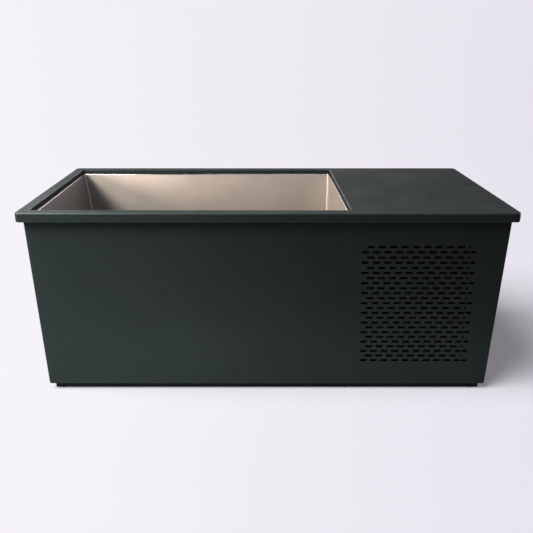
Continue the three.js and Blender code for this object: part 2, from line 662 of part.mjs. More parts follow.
function addCoil() {
  const { left, right, back, depth, top, fins, fin, core, port } = COIL;
  const pitch = (right - left - fin) / (fins - 1);
  const middle = back - depth / 2;
  const side = (sign) => Array.from({ length: fins }, (_, i) => left + i * pitch).flatMap((x) => [
    point(x, middle + (sign * core) / 2),
    point(x, middle + (sign * depth) / 2),
    point(x + fin, middle + (sign * depth) / 2),
    point(x + fin, middle + (sign * core) / 2),
  ]);
  const outline = [...side(-1), ...side(1).reverse()];
  const finStack = loft([{ z: TRAY_TOP, points: outline }, { z: top, points: outline }]);
  const stubs = Object.values(COIL_PORTS).map((z) => {
    return rod(COPPER_SOCKET, right - core, right + port, 'x').translate(0, middle, z);
  });
  add('condenser_coil', join(finStack, ...stubs), 'aluminium');
}

function addFan() {
  const { sheet, duct, wall, depth } = SHROUD;
  const sheetBack = COIL.back + GAP + sheet;
  const corners = [[COIL.left, TRAY_TOP], [COIL.right, TRAY_TOP], [COIL.right, COIL.top], [COIL.left, COIL.top]];
  const plate = new THREE.Shape(corners.map(([x, z]) => point(x, z)));
  plate.holes.push(new THREE.Path(arc(FAN.x, FAN.z, duct, 0, 337.5, 15).reverse()));
  const panel = new THREE.ExtrudeGeometry(plate, { depth: sheet, bevelEnabled: false });
  panel.rotateX(Math.PI / 2).translate(0, sheetBack, 0);
  const ring = [[duct - 1, -1], [duct - 1 + wall, -1], [duct - 1 + wall, depth], [duct - 1, depth], [duct - 1, -1]];
  add('fan_shroud', join(panel, revolve(ring, 'y', 16).translate(FAN.x, sheetBack, FAN.z)), 'zinc');

  const { front, back, blades, blade } = FAN;
  const hub = revolve([
    [0, front], [FAN_HUB.nose, front], [FAN_HUB.radius, front + FAN_HUB.noseDepth], [FAN_HUB.radius, back], [0, back],
  ], 'y');
  const outline = new THREE.Shape([
    ...arc(0, 0, FAN.radius, -18, 20, 3),
    ...arc(0, 0, FAN_HUB.radius - blade, 26, -26, 2),
  ]);
  const flat = new THREE.ExtrudeGeometry(outline, { depth: blade, bevelEnabled: false });
  flat.translate(0, 0, -blade / 2).rotateX(THREE.MathUtils.degToRad(FAN.pitch)).rotateX(Math.PI / 2);
  const turned = Array.from({ length: blades }, (_, i) => {
    return flat.clone().rotateY((i * 2 * Math.PI) / blades).translate(0, (front + back) / 2, 0);
  });
  add('fan_rotor', join(hub, ...turned), 'plastic', { x: FAN.x, z: FAN.z });

  const { radius, rim, shaft, gap, arm, armSheet, leg } = MOTOR;
  const start = back + gap;
  const end = start + MOTOR.depth;
  const can = revolve([
    [0, back + GAP], [shaft, back + GAP], [shaft, start], [radius - rim, start],
    [radius, start + rim], [radius, end - rim], [radius - 2 * rim, end], [0, end],
  ], 'y');
  const reach = duct + wall + arm;
  const armFront = start + rim / 2;
  const arms = [45, 135, 225, 315].flatMap((angle) => {
    const bar = box(radius - rim, reach, armFront, armFront + armSheet, -arm / 2, arm / 2);
    const foot = box(reach - leg, reach, sheetBack + GAP, armFront + armSheet, -arm / 2, arm / 2);
    return [bar, foot].map((piece) => piece.rotateY(THREE.MathUtils.degToRad(angle)));
  });
  add('fan_motor', join(can, ...arms), 'enamel', { x: FAN.x, z: FAN.z });
}

function addCompressor() {
  const { x, y, radius, height, base, seam, dome, foot, reach } = COMPRESSOR;
  const waist = height / 2;
  const shell = revolve([
    [0, base], [radius - dome, base], [radius - seam, base + dome], [radius - seam, waist], [radius, waist + seam],
    [radius, height - 2 * dome], [radius - dome, height - dome / 3], [0, height],
  ]);
  const feet = [90, 210, 330].map((angle) => {
    const pad = box(0, radius + reach, -foot / 2, foot / 2, 0, base + foot / 4);
    return pad.rotateZ(THREE.MathUtils.degToRad(angle));
  });
  const { offset, suction, length } = COMPRESSOR_PORTS;
  const discharge = rod(COPPER_SOCKET, height - 3 * length, height + length).translate(-offset, 0, 0);
  const inlet = rod(COPPER_SOCKET + 1, -radius - length, -radius + length, 'x').translate(0, 0, suction);
  add('compressor', join(shell, ...feet, discharge, inlet), 'enamel', { x, y, z: TRAY_TOP });
}

function addExchanger() {
  const { x, y, radius, height, clamp, clampHeight, shoulder, neck } = EXCHANGER;
  const { water, top, liquid, gas, gasY, copper } = EXCHANGER_PORTS;
  const vessel = revolve([
    [0, 0], [radius - clampHeight, 0], [radius, clampHeight], [radius, height - shoulder - clampHeight],
    [radius + clamp, height - shoulder - clampHeight], [radius + clamp, height - shoulder],
    [radius - clamp, height - shoulder + 2], [radius - neck, height], [0, height],
  ]);
  const portHeight = FILTER.port - PORT_STEP - TRAY_TOP;
  const waterIn = rod(WATER_PIPE, radius - copper, radius + water, 'x').translate(0, 0, portHeight);
  const waterOut = rod(WATER_PIPE, height - clamp, height + top);
  const liquidIn = rod(COPPER_SOCKET, -radius - copper, -radius + copper, 'y').translate(0, 0, liquid);
  const gasOut = rod(COPPER_SOCKET, radius - 2 * copper, radius + copper, 'x').translate(0, gasY, gas);
  add('heat_exchanger', join(vessel, waterIn, waterOut, liquidIn, gasOut), 'plastic', { x, y, z: TRAY_TOP });
}

// The first two and the last two points of each run lie along the ports they meet.
function addRefrigerantLines() {
  const coilPort = COIL.right + COIL.port + GAP;
  const coilY = COIL.back - COIL.depth / 2;
  const { low, high } = COIL_PORTS;
  const top = TRAY_TOP + COMPRESSOR.height + COMPRESSOR_PORTS.length + GAP;
  const dischargeX = COMPRESSOR.x - COMPRESSOR_PORTS.offset;
  const liquidY = EXCHANGER.y - EXCHANGER.radius - EXCHANGER_PORTS.copper - GAP;
  const liquidZ = TRAY_TOP + EXCHANGER_PORTS.liquid;
  const gasX = EXCHANGER.x + EXCHANGER.radius + EXCHANGER_PORTS.copper + GAP;
  const gasY = EXCHANGER.y + EXCHANGER_PORTS.gasY;
  const gasZ = TRAY_TOP + EXCHANGER_PORTS.gas;
  const suctionX = COMPRESSOR.x - COMPRESSOR.radius - COMPRESSOR_PORTS.length - GAP;
  const suctionZ = TRAY_TOP + COMPRESSOR_PORTS.suction;
  const lines = {
    discharge_line: [
      [dischargeX, COMPRESSOR.y, top], [dischargeX, COMPRESSOR.y, top + 50], [770, -110, top + 110],
      [792, -230, 500], [792, coilY + 30, high - 4], [coilPort + 15, coilY, high], [coilPort, coilY, high],
    ],
    liquid_line: [
      [coilPort, coilY, low], [coilPort + 15, coilY, low], [795, coilY + 30, low - 4], [790, -200, 90],
      [700, -155, 80], [520, -150, 90], [EXCHANGER.x, liquidY - 19, liquidZ], [EXCHANGER.x, liquidY, liquidZ],
    ],
    suction_line: [
      [gasX, gasY, gasZ], [gasX + 17, gasY, gasZ], [suctionX - 19, COMPRESSOR.y, suctionZ],
      [suctionX, COMPRESSOR.y, suctionZ],
    ],
  };
  for (const [name, points] of Object.entries(lines)) add(name, pipe(points, COPPER_PIPE, 5, 12), 'copper');
}

// Water circuit

function addPump() {
  const { x, y, z, radius, volute, length, inlet, outlet, rise } = PUMP;
  const motor = radius - 6;
  const body = revolve([
    [0, -inlet], [WATER_PIPE, -inlet], [WATER_PIPE, 0], [radius + 8, 0], [radius + 8, volute], [motor, volute + 4],
    [motor, length - inlet], [motor - 8, length], [0, length],
  ], 'x');
  const riser = rod(WATER_PIPE, radius / 2, radius + rise).translate(outlet, 0, 0);
  const foot = box(outlet, length - outlet, -40, 40, TRAY_TOP - z, inlet - radius);
  add('circulation_pump', join(body, riser, foot), 'plastic', { x, y, z });
}

function addFilter() {
  const { x, y, radius, height, wall, floor, collar, port, reach } = FILTER;
  const bore = radius - wall;
  const bowl = revolve([
    [0, 0], [radius - wall, 0], [radius, floor], [radius, height - collar - 2], [radius + wall, height - collar],
    [radius + wall, height], [bore, height], [bore, floor], [0, floor],
  ]);
  const inlet = rod(WATER_PIPE, -radius - reach, -radius + wall - 1, 'x').translate(0, 0, port - TRAY_TOP);
  const outlet = rod(WATER_PIPE, -radius - reach, -radius + wall - 1, 'y');
  outlet.translate(0, 0, port - TRAY_TOP - PORT_STEP);
  add('filter_housing', join(bowl, inlet, outlet), 'plastic', { x, y, z: TRAY_TOP });

  const { plug, skirt, crown, ear, gripWidth, gripTop } = FILTER_CAP;
  const plugRadius = bore * Math.cos(Math.PI / LATHE_SEGMENTS) - 2 * GAP; // clears the bowl's flats as it turns
  const lid = revolve([
    [0, -plug], [plugRadius, -plug], [plugRadius, GAP], [radius + skirt, GAP], [radius + skirt, FILTER_CAP.height],
    [radius - skirt, crown - 2], [0, crown],
  ]);
  const gripHalf = radius - 2 * skirt;
  const grip = box(-gripHalf, gripHalf, -gripWidth / 2, gripWidth / 2, crown - 4, gripTop);
  const earHalf = radius + ear;
  const ears = box(-earHalf, earHalf, -ear * 0.75, ear * 0.75, 4, 14);
  add('filter_cap', join(lid, grip, ears), 'plastic', { x, y, z: TRAY_TOP + height });

  const star = Array.from({ length: 2 * CARTRIDGE.pleats }, (_, i) => {
    const angle = (i * Math.PI) / CARTRIDGE.pleats;
    const r = CARTRIDGE.radius - (i % 2) * CARTRIDGE.pleat;
    return point(r * Math.cos(angle), r * Math.sin(angle));
  });
  const bottom = TRAY_TOP + floor + GAP;
  const cartridge = loft([{ z: bottom, points: star }, { z: TRAY_TOP + height - plug - GAP, points: star }]);
  add('filter_cartridge', cartridge, 'paper', { x, y });
}

// The first two and the last two points of each run lie along the ports they meet.
function addWaterPipes() {
  const tail = FOAM_X + FITTING.tail + GAP;
  const pumpIn = PUMP.x - PUMP.inlet - GAP;
  const pumpX = PUMP.x + PUMP.outlet;
  const pumpTop = PUMP.z + PUMP.radius + PUMP.rise + GAP;
  const filterSide = FILTER.x - FILTER.radius - FILTER.reach - GAP;
  const filterFront = FILTER.y - FILTER.radius - FILTER.reach - GAP;
  const exchangerSide = EXCHANGER.x + EXCHANGER.radius + EXCHANGER_PORTS.water + GAP;
  const exchangerTop = TRAY_TOP + EXCHANGER.height + EXCHANGER_PORTS.top + GAP;
  const low = FILTER.port - PORT_STEP;
  const runs = {
    suction_pipe: [
      [tail, SUCTION.y, SUCTION.z], [tail + 16, SUCTION.y, SUCTION.z],
      [pumpIn - 16, PUMP.y, PUMP.z], [pumpIn, PUMP.y, PUMP.z],
    ],
    filter_pipe: [
      [pumpX, PUMP.y, pumpTop], [pumpX, PUMP.y, pumpTop + 40], [pumpX + 38, PUMP.y, FILTER.port],
      [filterSide - 40, FILTER.y, FILTER.port], [filterSide, FILTER.y, FILTER.port],
    ],
    exchanger_pipe: [
      [FILTER.x, filterFront, low], [FILTER.x, filterFront - 20, low], [FILTER.x - 50, 40, low],
      [exchangerSide + 20, EXCHANGER.y, low], [exchangerSide, EXCHANGER.y, low],
    ],
    return_pipe: [
      [EXCHANGER.x, EXCHANGER.y, exchangerTop], [EXCHANGER.x, EXCHANGER.y, exchangerTop + 40],
      [EXCHANGER.x - 50, EXCHANGER.y, RETURN.z - 5], [tail + 24, RETURN.y, RETURN.z], [tail, RETURN.y, RETURN.z],
    ],
  };
  for (const [name, points] of Object.entries(runs)) add(name, pipe(points, WATER_PIPE, 7, 9), 'pvc');
}

function addDrain() {
  const { half, nut, belly, neck, neckTop } = VALVE;
  const valveIn = VALVE.x - half - GAP;
  const elbow = [
    [DRAIN.x, DRAIN.y, DRAIN.tail - GAP], [DRAIN.x, DRAIN.y, DRAIN.tail - 6],
    [DRAIN.x + 10, DRAIN.y, DRAIN_LEVEL + 4], [DRAIN.x + 30, DRAIN.y, DRAIN_LEVEL],
    [valveIn - 60, DRAIN.y, DRAIN_LEVEL], [valveIn, DRAIN.y, DRAIN_LEVEL],
  ];
  add('drain_pipe', pipe(elbow, DRAIN_PIPE, 7, 14), 'pvc');

  const outlet = halfLength(DRAIN_LEVEL) + VALVE.outlet - VALVE.x;
  const body = revolve([
    [0, -half], [nut, -half], [nut, 8 - half], [belly, 12 - half], [belly, half - 12], [nut, half - 8], [nut, half],
    [DRAIN_PIPE, half], [DRAIN_PIPE, outlet - 8], [DRAIN_PIPE - 2, outlet], [0, outlet],
  ], 'x', ROD_SEGMENTS);
  const place = { x: VALVE.x, y: DRAIN.y, z: DRAIN_LEVEL };
  add('drain_valve_body', join(body, rod(neck, belly / 2, neckTop)), 'brass', place);
  const { length, width, sheet, boss, height } = LEVER;
  const hub = rod(boss, neckTop + GAP, neckTop + height);
  const arm = box(-width / 2, width / 2, 0, length, neckTop + sheet, neckTop + 2 * sheet);
  add('drain_valve_lever', join(hub, arm), 'lever', place);
}

// Electrics

function addElectrics() {
  const inside = -CASING_SHEET / Math.cos(DRAFT) - GAP;
  const halfBox = CONTROL.width / 2;
  const rise = CONTROL.height / 2;
  const rect = { x0: inside - CONTROL.depth, x1: inside, y0: -halfBox, y1: halfBox, r: CONTROL.corner };
  add('control_box', onRightEnd(blockLoft(rect, [[-rise, 0], [rise, 0]]), CONTROL.y, CONTROL.z), 'plastic');

  const { halfWidth: half, halfHeight: high, border, flange, wall, depth } = INLET;
  const face = box(GAP, flange, -half - border, half + border, -high - border + 1, high + border - 1);
  const core = box(-depth, flange / 2, -half, half, -high, high);
  const cavity = box(12 - depth, flange + REACH, wall - half, half - wall, wall - high, high - wall);
  const { pitch, width, height, drop, rise: lift, length } = INLET_PIN;
  const pins = [-1, 0, 1].map((step) => {
    const bottom = step === 0 ? lift : -drop;
    const y = step * pitch;
    return box(10 - depth, 10 - depth + length, y - width / 2, y + width / 2, bottom, bottom + height);
  });
  const inlet = join(cut(join(face, core), cavity), ...pins);
  add('power_inlet', onRightEnd(inlet, INLET.y, INLET.z), 'plastic');
}

addDeck();
addBasin();
addCasing();
addDoor();
addInsulation();
addFrame();
addCoil();
addFan();
addCompressor();
addExchanger();
addRefrigerantLines();
addPump();
addFilter();
addWaterPipes();
addDrain();
addElectrics();

export default tub;
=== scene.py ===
# Cold plunge tub: the finished looks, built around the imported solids.
# Metres, +Z up. The tub stands on z = 0, the basin is at -X and the slotted grille faces -Y.

import json
import math
from types import SimpleNamespace

import bmesh
import bpy
from mathutils import Matrix, Vector


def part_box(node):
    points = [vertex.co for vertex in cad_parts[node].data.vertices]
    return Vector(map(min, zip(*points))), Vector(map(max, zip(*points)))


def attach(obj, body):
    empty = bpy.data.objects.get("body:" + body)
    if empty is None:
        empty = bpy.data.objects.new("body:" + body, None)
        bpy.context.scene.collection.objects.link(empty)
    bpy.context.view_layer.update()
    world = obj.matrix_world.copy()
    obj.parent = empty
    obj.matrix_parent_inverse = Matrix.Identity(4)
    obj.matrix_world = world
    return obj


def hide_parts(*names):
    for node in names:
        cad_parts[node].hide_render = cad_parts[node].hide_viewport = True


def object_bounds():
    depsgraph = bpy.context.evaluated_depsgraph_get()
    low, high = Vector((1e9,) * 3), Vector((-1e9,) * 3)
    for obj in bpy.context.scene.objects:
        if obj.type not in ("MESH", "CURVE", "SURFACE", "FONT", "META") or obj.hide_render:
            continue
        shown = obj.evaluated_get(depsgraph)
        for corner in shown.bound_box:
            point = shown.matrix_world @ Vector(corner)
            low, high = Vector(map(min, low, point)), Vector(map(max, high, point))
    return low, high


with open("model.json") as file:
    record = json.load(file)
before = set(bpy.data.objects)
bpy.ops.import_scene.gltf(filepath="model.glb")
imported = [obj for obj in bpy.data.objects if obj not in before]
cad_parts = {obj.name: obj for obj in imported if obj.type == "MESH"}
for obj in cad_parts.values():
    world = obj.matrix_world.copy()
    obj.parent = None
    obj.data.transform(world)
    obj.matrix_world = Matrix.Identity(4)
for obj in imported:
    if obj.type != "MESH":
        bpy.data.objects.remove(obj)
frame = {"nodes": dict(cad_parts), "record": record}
cad_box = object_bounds()

MM = 0.001
IMAGE = 533  # pixels along each side of the picture

# Camera, fitted to the rim's corners and the grille
FOCAL_PIXELS = 636.4
SENSOR = 36.0
CAMERA_PLACE = (-31.6 * MM, -2598.4 * MM, 1305.2 * MM)
CAMERA_PITCH = math.radians(19.586)
MIDDLE_PIXEL = 258.95  # where the optical axis meets the picture

# Rim and deck
RIM_STRIP = 42 * MM
RIM_CORNER = 18 * MM
RIM_EDGE = 5 * MM
RIM_HEM = 3 * MM
SKIRT_RETURN = 20 * MM
DECK_LENGTH = 600 * MM
DECK_SHEET = 3 * MM
LIP_DROP = 16 * MM
LIP_EDGE = 3 * MM

# Casing
DRAFT = math.radians(1.5)
RIM_OVERHANG = 22 * MM
CASING_SHEET = 2.5 * MM
CASING_CORNER = 8 * MM
CASING_RETURN = 24 * MM
PLINTH_INSET = 11 * MM
SEAM = 1 * MM
BEND = 6 * MM  # outer radius along the bottom of a casing sheet
FOLD_DEPTH = PLINTH_INSET - 0.3 * MM
BODY_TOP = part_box("top_deck")[0].z
CASING_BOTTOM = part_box("front_panel")[0].z
CASING_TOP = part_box("front_panel")[1].z
HALF_TOP = Vector((cad_box[1].x - RIM_OVERHANG, cad_box[1].y - RIM_OVERHANG))

# Slotted grille
SLOT_LENGTH = 28 * MM
SLOT_HEIGHT = 9 * MM
SLOT_PITCH = 41 * MM
ROW_PITCH = 20.3 * MM
ROW_SHIFT = 0.73 * MM  # each row starts a little further right than the one above
SLOT_ROWS = 24
SLOTS_PER_ROW = 9
GRILLE_X = 356.5 * MM  # centre of the first slot in every second row
GRILLE_DROP = 98.6 * MM  # first row's centre below the skirt
END_SLOTS = ((8.97, 25.5 * MM), (9.63, 20 * MM))  # (pitches along the row, length)
END_DOT_PITCHES = 9.27
ROUND_END = 0.499  # corner radius of a slot, as a share of its height

# Basin
BASIN_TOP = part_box("basin")[1].z
BASIN_SHEET = 2.5 * MM
BASIN_INSET = 5 * MM
BASIN_FLOOR = 110 * MM
BASIN_CORNER = 7 * MM
BASIN_FILLET = 14 * MM
BASIN_EDGE = 3 * MM
BASIN_DRAFT = math.radians(2)
BACKREST = math.radians(7)
BASIN_FLANGE = 20 * MM
GASKET_WIDTH = 12 * MM
GASKET_BULB = 1.4 * MM  # how far the seal stands out in front of the lip; its black band is partly painted shade for the gap there
BULB_RISE = 3 * MM
BULB_GAP = 0.2 * MM  # between the bulb and the face of the lip


def mm(**sizes):
    """Sizes written in millimetres."""
    return SimpleNamespace(**{name: size * MM for name, size in sizes.items()})


def mm_size(x, y, z):
    return (x * MM, y * MM, z * MM)


# Service door and the holes in the right end
DOOR = mm(left=341, right=829, bottom=29, top=690, gap=3, edge=14, fold_bottom=47)
HINGE = mm(x=830.5, radius=5.5, gap=0.6, leaf=2, door_leaf=24, fixed_leaf=20)
HINGE_HEIGHTS = {"hinge_lower": 150 * MM, "hinge_upper": 580 * MM}
LATCH = mm(x=364, z=360, fold=22, hole=7)
VENT = mm(length=150, height=8, pitch=190, row_pitch=24, z=480)
VENT_COLUMNS = 2
VENT_ROWS = 4
INLET = mm(y=250, z=150, hole_width=38, hole_height=28)
DRAIN_OUTLET = mm(y=100, z=72)
DRAIN_HOLE = 16 * MM

# Condenser and fan
COIL = mm(left=366, right=760, back=-300, depth=42, bottom=49.6, top=600, plate=2, bend_pitch=44)
COIL_BENDS = 11
COIL_PORTS = (120 * MM, 540 * MM)
FIN_PITCH = 3.2 * MM
FIN_SHEET = 0.4 * MM
FIN_MARGIN = 4 * MM  # how much smaller a fin is than the coil
BEND_STAGGER = 10 * MM
FAN = mm(x=563, y=-249, z=330, duct=166)
SHROUD_SHEET = 3 * MM
DUCT_STEPS = 64
SCREW_REACH = 0.97  # screws of the fan plate, from its duct's centre to its corners
FAN_BLADES = 5
TRAY_TOP = 49.6  # millimetres; what stands on the tray starts here

CORNER_STEPS = 8
EDGE_STEPS = 4
SLOT_END_STEPS = 5
EDGE_BAND = 1.5 * MM  # flat strip that keeps the edge's rub colour and painted highlight to the edge
HEM_WEAR_AND_SHEEN = 0.4  # low edges get less of the paler rub colour, which is partly a painted highlight
FOLD_WEAR_AND_SHEEN = 0.2
MIN_RADIUS = 0.5 * MM
WELD = 0.02 * MM  # points closer than this become one
SMOOTH_ANGLE = math.radians(40)
FLAT_ANGLE = math.radians(1)
TURN_STEPS = 32
VESSEL_STEPS = 48
PIPE_SIDES = 20
SCREW_SIDES = 12
GRATE_HOLE_SIDES = 10
SHEET_FOOT = CASING_BOTTOM + BEND + EDGE_BAND  # where the straight part of a casing sheet starts
EDGE_START = BASIN_TOP - BASIN_EDGE - EDGE_BAND  # where the basin's rounded edge starts


# Node trees

def add_node(tree, kind, inputs=None, **settings):
    """New node; inputs maps a socket's name or number to a value or to another node's output."""
    node = tree.nodes.new(kind)
    for name, value in settings.items():
        setattr(node, name, value)
    for key, value in (inputs or {}).items():
        if isinstance(value, bpy.types.NodeSocket):
            tree.links.new(value, node.inputs[key])
        else:
            node.inputs[key].default_value = value
    return node


def calculate(tree, operation, *values):
    return add_node(tree, "ShaderNodeMath", dict(enumerate(values)), operation=operation).outputs[0]


def new_tree(name, kind, inputs, outputs):
    """Node group with named sockets; inputs maps a name to (type, default value)."""
    tree = bpy.data.node_groups.new(name, kind)
    for label, (socket_kind, value) in inputs.items():
        socket = tree.interface.new_socket(label, in_out="INPUT", socket_type="NodeSocket" + socket_kind)
        if value is not None:
            socket.default_value = value
    for label, socket_kind in outputs.items():
        tree.interface.new_socket(label, in_out="OUTPUT", socket_type="NodeSocket" + socket_kind)
    return tree, tree.nodes.new("NodeGroupInput").outputs, tree.nodes.new("NodeGroupOutput").inputs


def times(tree, one, two):
    return calculate(tree, "MULTIPLY", one, two)


def map_range(tree, value, start, end, low, high):
    """Maps start to end onto low to high, and stops at both."""
    return add_node(tree, "ShaderNodeMapRange", {0: value, 1: start, 2: end, 3: low, 4: high}).outputs[0]


def noise(tree, place, scale, detail, **more):
    values = {"Vector": place, "Scale": scale, "Detail": detail, **more}
    return add_node(tree, "ShaderNodeTexNoise", values).outputs["Fac"]


def parts_of(tree, vector):
    return add_node(tree, "ShaderNodeSeparateXYZ", {0: vector}).outputs


def vector_of(tree, x=0.0, y=0.0, z=0.0):
    return add_node(tree, "ShaderNodeCombineXYZ", {0: x, 1: y, 2: z}).outputs[0]


def length_of(tree, vector):
    return add_node(tree, "ShaderNodeVectorMath", {0: vector}, operation="LENGTH").outputs["Value"]


def own_place(tree):
    """Place in the piece's own frame."""
    return add_node(tree, "ShaderNodeTexCoord").outputs["Object"]


def facing(tree):
    """Parts of the direction that the surface faces."""
    return parts_of(tree, add_node(tree, "ShaderNodeNewGeometry").outputs["Normal"])


def attribute(tree, name):
    """Value that the piece's mesh carries under a name."""
    return add_node(tree, "ShaderNodeAttribute", attribute_name=name).outputs["Fac"]


def use_group(tree, group, **values):
    return add_node(tree, "ShaderNodeGroup", values, node_tree=group).outputs


def blend_colour(tree, factor, one, two):
    return add_node(tree, "ShaderNodeMix", {0: factor, 6: one, 7: two}, data_type="RGBA").outputs[2]


def spread(tree, factor, low, high):
    """Maps the middle of a noise value onto low to high."""
    return map_range(tree, factor, 0.3, 0.7, low, high)


def new_object(name, data):
    thing = bpy.data.objects.new(name, data)
    bpy.context.scene.collection.objects.link(thing)
    return thing


# Shader groups shared by the finishes

def make_mottle_group():
    """Grain of a coated or moulded skin: fine height, and slow tone and gloss changes."""
    inputs = {"Grain": ("Float", 900.0), "Patch": ("Float", 3.0)}
    outputs = {"Height": "Float", "Tone": "Float", "Gloss": "Float"}
    tree, given, result = new_tree("skin mottle", "ShaderNodeTree", inputs, outputs)
    place = own_place(tree)
    tree.links.new(noise(tree, place, given["Grain"], 3.0), result["Height"])
    tree.links.new(noise(tree, place, given["Patch"], 5.0), result["Tone"])
    tree.links.new(noise(tree, place, given["Patch"], 4.0, Distortion=1.5), result["Gloss"])
    return tree


def make_wear_and_sheen_group():
    """Paler edges, partly rub and partly a painted highlight: the piece's own attribute for them, broken up
    by noise.
    """
    inputs = {"Amount": ("Float", 1.0), "Break": ("Float", 40.0)}
    tree, given, result = new_tree("edge wear", "ShaderNodeTree", inputs, {"Mask": "Float"})
    broken = spread(tree, noise(tree, own_place(tree), given["Break"], 4.0), 0.35, 1.0)
    mask = times(tree, times(tree, attribute(tree, "wear"), broken), given["Amount"])
    tree.links.new(mask, result["Mask"])
    return tree


def make_brush_group():
    """Fine brushed lines: along the level on upright walls, and along X on level faces."""
    inputs = {"Lines": ("Float", 900.0), "Run": ("Float", 6.0)}
    outputs = {"Height": "Float", "Tone": "Float"}
    tree, given, result = new_tree("brushed lines", "ShaderNodeTree", inputs, outputs)
    lines, run = given["Lines"], given["Run"]
    place = own_place(tree)
    level = calculate(tree, "GREATER_THAN", calculate(tree, "ABSOLUTE", facing(tree)["Z"]), 0.7)
    ways = {0: level, 4: vector_of(tree, run, run, lines), 5: vector_of(tree, run, lines, run)}
    scale = add_node(tree, "ShaderNodeMix", ways, data_type="VECTOR").outputs[1]
    stretched = add_node(tree, "ShaderNodeVectorMath", {0: place, 1: scale}, operation="MULTIPLY").outputs[0]
    tree.links.new(noise(tree, stretched, 1.0, 4.0, Roughness=0.7), result["Height"])
    tree.links.new(noise(tree, place, 5.0, 3.0), result["Tone"])
    return tree


def make_dust_group():
    """Thin dust that settles on faces turned up, in soft patches."""
    inputs = {"Amount": ("Float", 0.1), "Patch": ("Float", 7.0)}
    tree, given, result = new_tree("settled dust", "ShaderNodeTree", inputs, {"Mask": "Float"})
    up = map_range(tree, facing(tree)["Z"], 0.6, 1.0, 0.0, 1.0)
    soft = map_range(tree, noise(tree, own_place(tree), given["Patch"], 6.0), 0.35, 0.75, 0.2, 1.0)
    tree.links.new(times(tree, times(tree, up, soft), given["Amount"]), result["Mask"])
    return tree


MOTTLE = make_mottle_group()
WEAR_AND_SHEEN = make_wear_and_sheen_group()
BRUSH = make_brush_group()
DUST = make_dust_group()


# Finishes

def linear(red, green, blue):
    """Colour written in 0 to 255 screen values."""
    def channel(value):
        v = value / 255
        return v / 12.92 if v <= 0.04045 else ((v + 0.055) / 1.055) ** 2.4
    return (channel(red), channel(green), channel(blue), 1.0)


COAT_PATCH = 4.0  # size of the slow changes in a coat
COAT_SHADE = 0.9  # darker tone of a coat, as a share of its colour
# paler edges in the coats: partly rub, partly a painted highlight
RUB_AND_SHEEN = {"Amount": 0.5, "Break": 55.0}
SETTLED = {"Amount": 0.06, "Patch": 6.0}
DUST_COLOUR = linear(150, 148, 145)
HOLE_SHADE_COLOUR = linear(2, 2, 2)  # painted shade: near-black on the walls of the punched holes, where light hardly reaches
BRUSH_RUN = 5.0
POLISH = 0.37  # how much smoother a polished edge is


def new_finish(name):
    material = bpy.data.materials.new(name)
    material.use_nodes = True
    tree = material.node_tree
    return material, tree, tree.nodes["Principled BSDF"]


def bump(tree, shader, height, strength, distance):
    node = add_node(tree, "ShaderNodeBump", {"Strength": strength, "Distance": distance, "Height": height})
    tree.links.new(node.outputs[0], shader.inputs["Normal"])


def coated_finish(name, colour, pale, roughness, grain, depth):
    """Powder coat or paint: fine grain, slow gloss changes, paler edges that are partly rub and partly a
    painted highlight, painted shade on the walls of punched holes, and dust.
    """
    material, tree, shader = new_finish(name)
    skin = use_group(tree, MOTTLE, Grain=grain, Patch=COAT_PATCH)
    rub_and_sheen = use_group(tree, WEAR_AND_SHEEN, **RUB_AND_SHEEN)["Mask"]
    shade = [c * COAT_SHADE for c in colour[:3]] + [1.0]
    base = blend_colour(tree, spread(tree, skin["Tone"], 0.0, 1.0), shade, colour)
    # painted highlight in part: rounded edges take the paler colour
    base = blend_colour(tree, rub_and_sheen, base, pale)
    base = blend_colour(tree, use_group(tree, DUST, **SETTLED)["Mask"], base, DUST_COLOUR)
    # painted shade: the walls of punched holes turn near-black
    base = blend_colour(tree, attribute(tree, "painted_hole_shade"), base, HOLE_SHADE_COLOUR)
    tree.links.new(base, shader.inputs["Base Color"])
    gloss = spread(tree, skin["Gloss"], roughness - 0.05, roughness + 0.05)
    smooth = calculate(tree, "SUBTRACT", gloss, times(tree, rub_and_sheen, 0.4))
    tree.links.new(smooth, shader.inputs["Roughness"])
    shine = calculate(tree, "ADD", times(tree, rub_and_sheen, 0.8), 0.05)
    tree.links.new(shine, shader.inputs["Specular IOR Level"])
    bump(tree, shader, skin["Height"], 0.35, depth)
    return material


def brushed_finish(name, colour, deep, roughness, lines, depth, sheen_colour):
    """Brushed metal with cloudy tone, and polish on its edges in a brighter colour that is partly a painted
    highlight.
    """
    material, tree, shader = new_finish(name)
    brushed = use_group(tree, BRUSH, Lines=lines, Run=BRUSH_RUN)
    polish_and_sheen = attribute(tree, "wear")
    base = blend_colour(tree, spread(tree, brushed["Tone"], 0.0, 1.0), deep, colour)
    # painted highlight in part: rounded edges take the brighter colour
    base = blend_colour(tree, polish_and_sheen, base, sheen_colour)
    tree.links.new(base, shader.inputs["Base Color"])
    shader.inputs["Metallic"].default_value = 1.0
    streak = spread(tree, brushed["Height"], roughness - 0.06, roughness + 0.06)
    smooth = calculate(tree, "SUBTRACT", streak, times(tree, polish_and_sheen, POLISH))
    tree.links.new(smooth, shader.inputs["Roughness"])
    bump(tree, shader, brushed["Height"], 0.25, depth)
    return material


def moulded_finish(name, colour, other, roughness, grain, patch, depth, metallic=0.0):
    """Moulded, cast or fibrous skin: two tones, grain and uneven gloss."""
    material, tree, shader = new_finish(name)
    skin = use_group(tree, MOTTLE, Grain=grain, Patch=patch)
    base = blend_colour(tree, spread(tree, skin["Tone"], 0.0, 1.0), other, colour)
    tree.links.new(base, shader.inputs["Base Color"])
    gloss = spread(tree, skin["Gloss"], roughness - 0.07, roughness + 0.07)
    tree.links.new(gloss, shader.inputs["Roughness"])
    shader.inputs["Metallic"].default_value = metallic
    bump(tree, shader, skin["Height"], 0.4, depth)
    return material


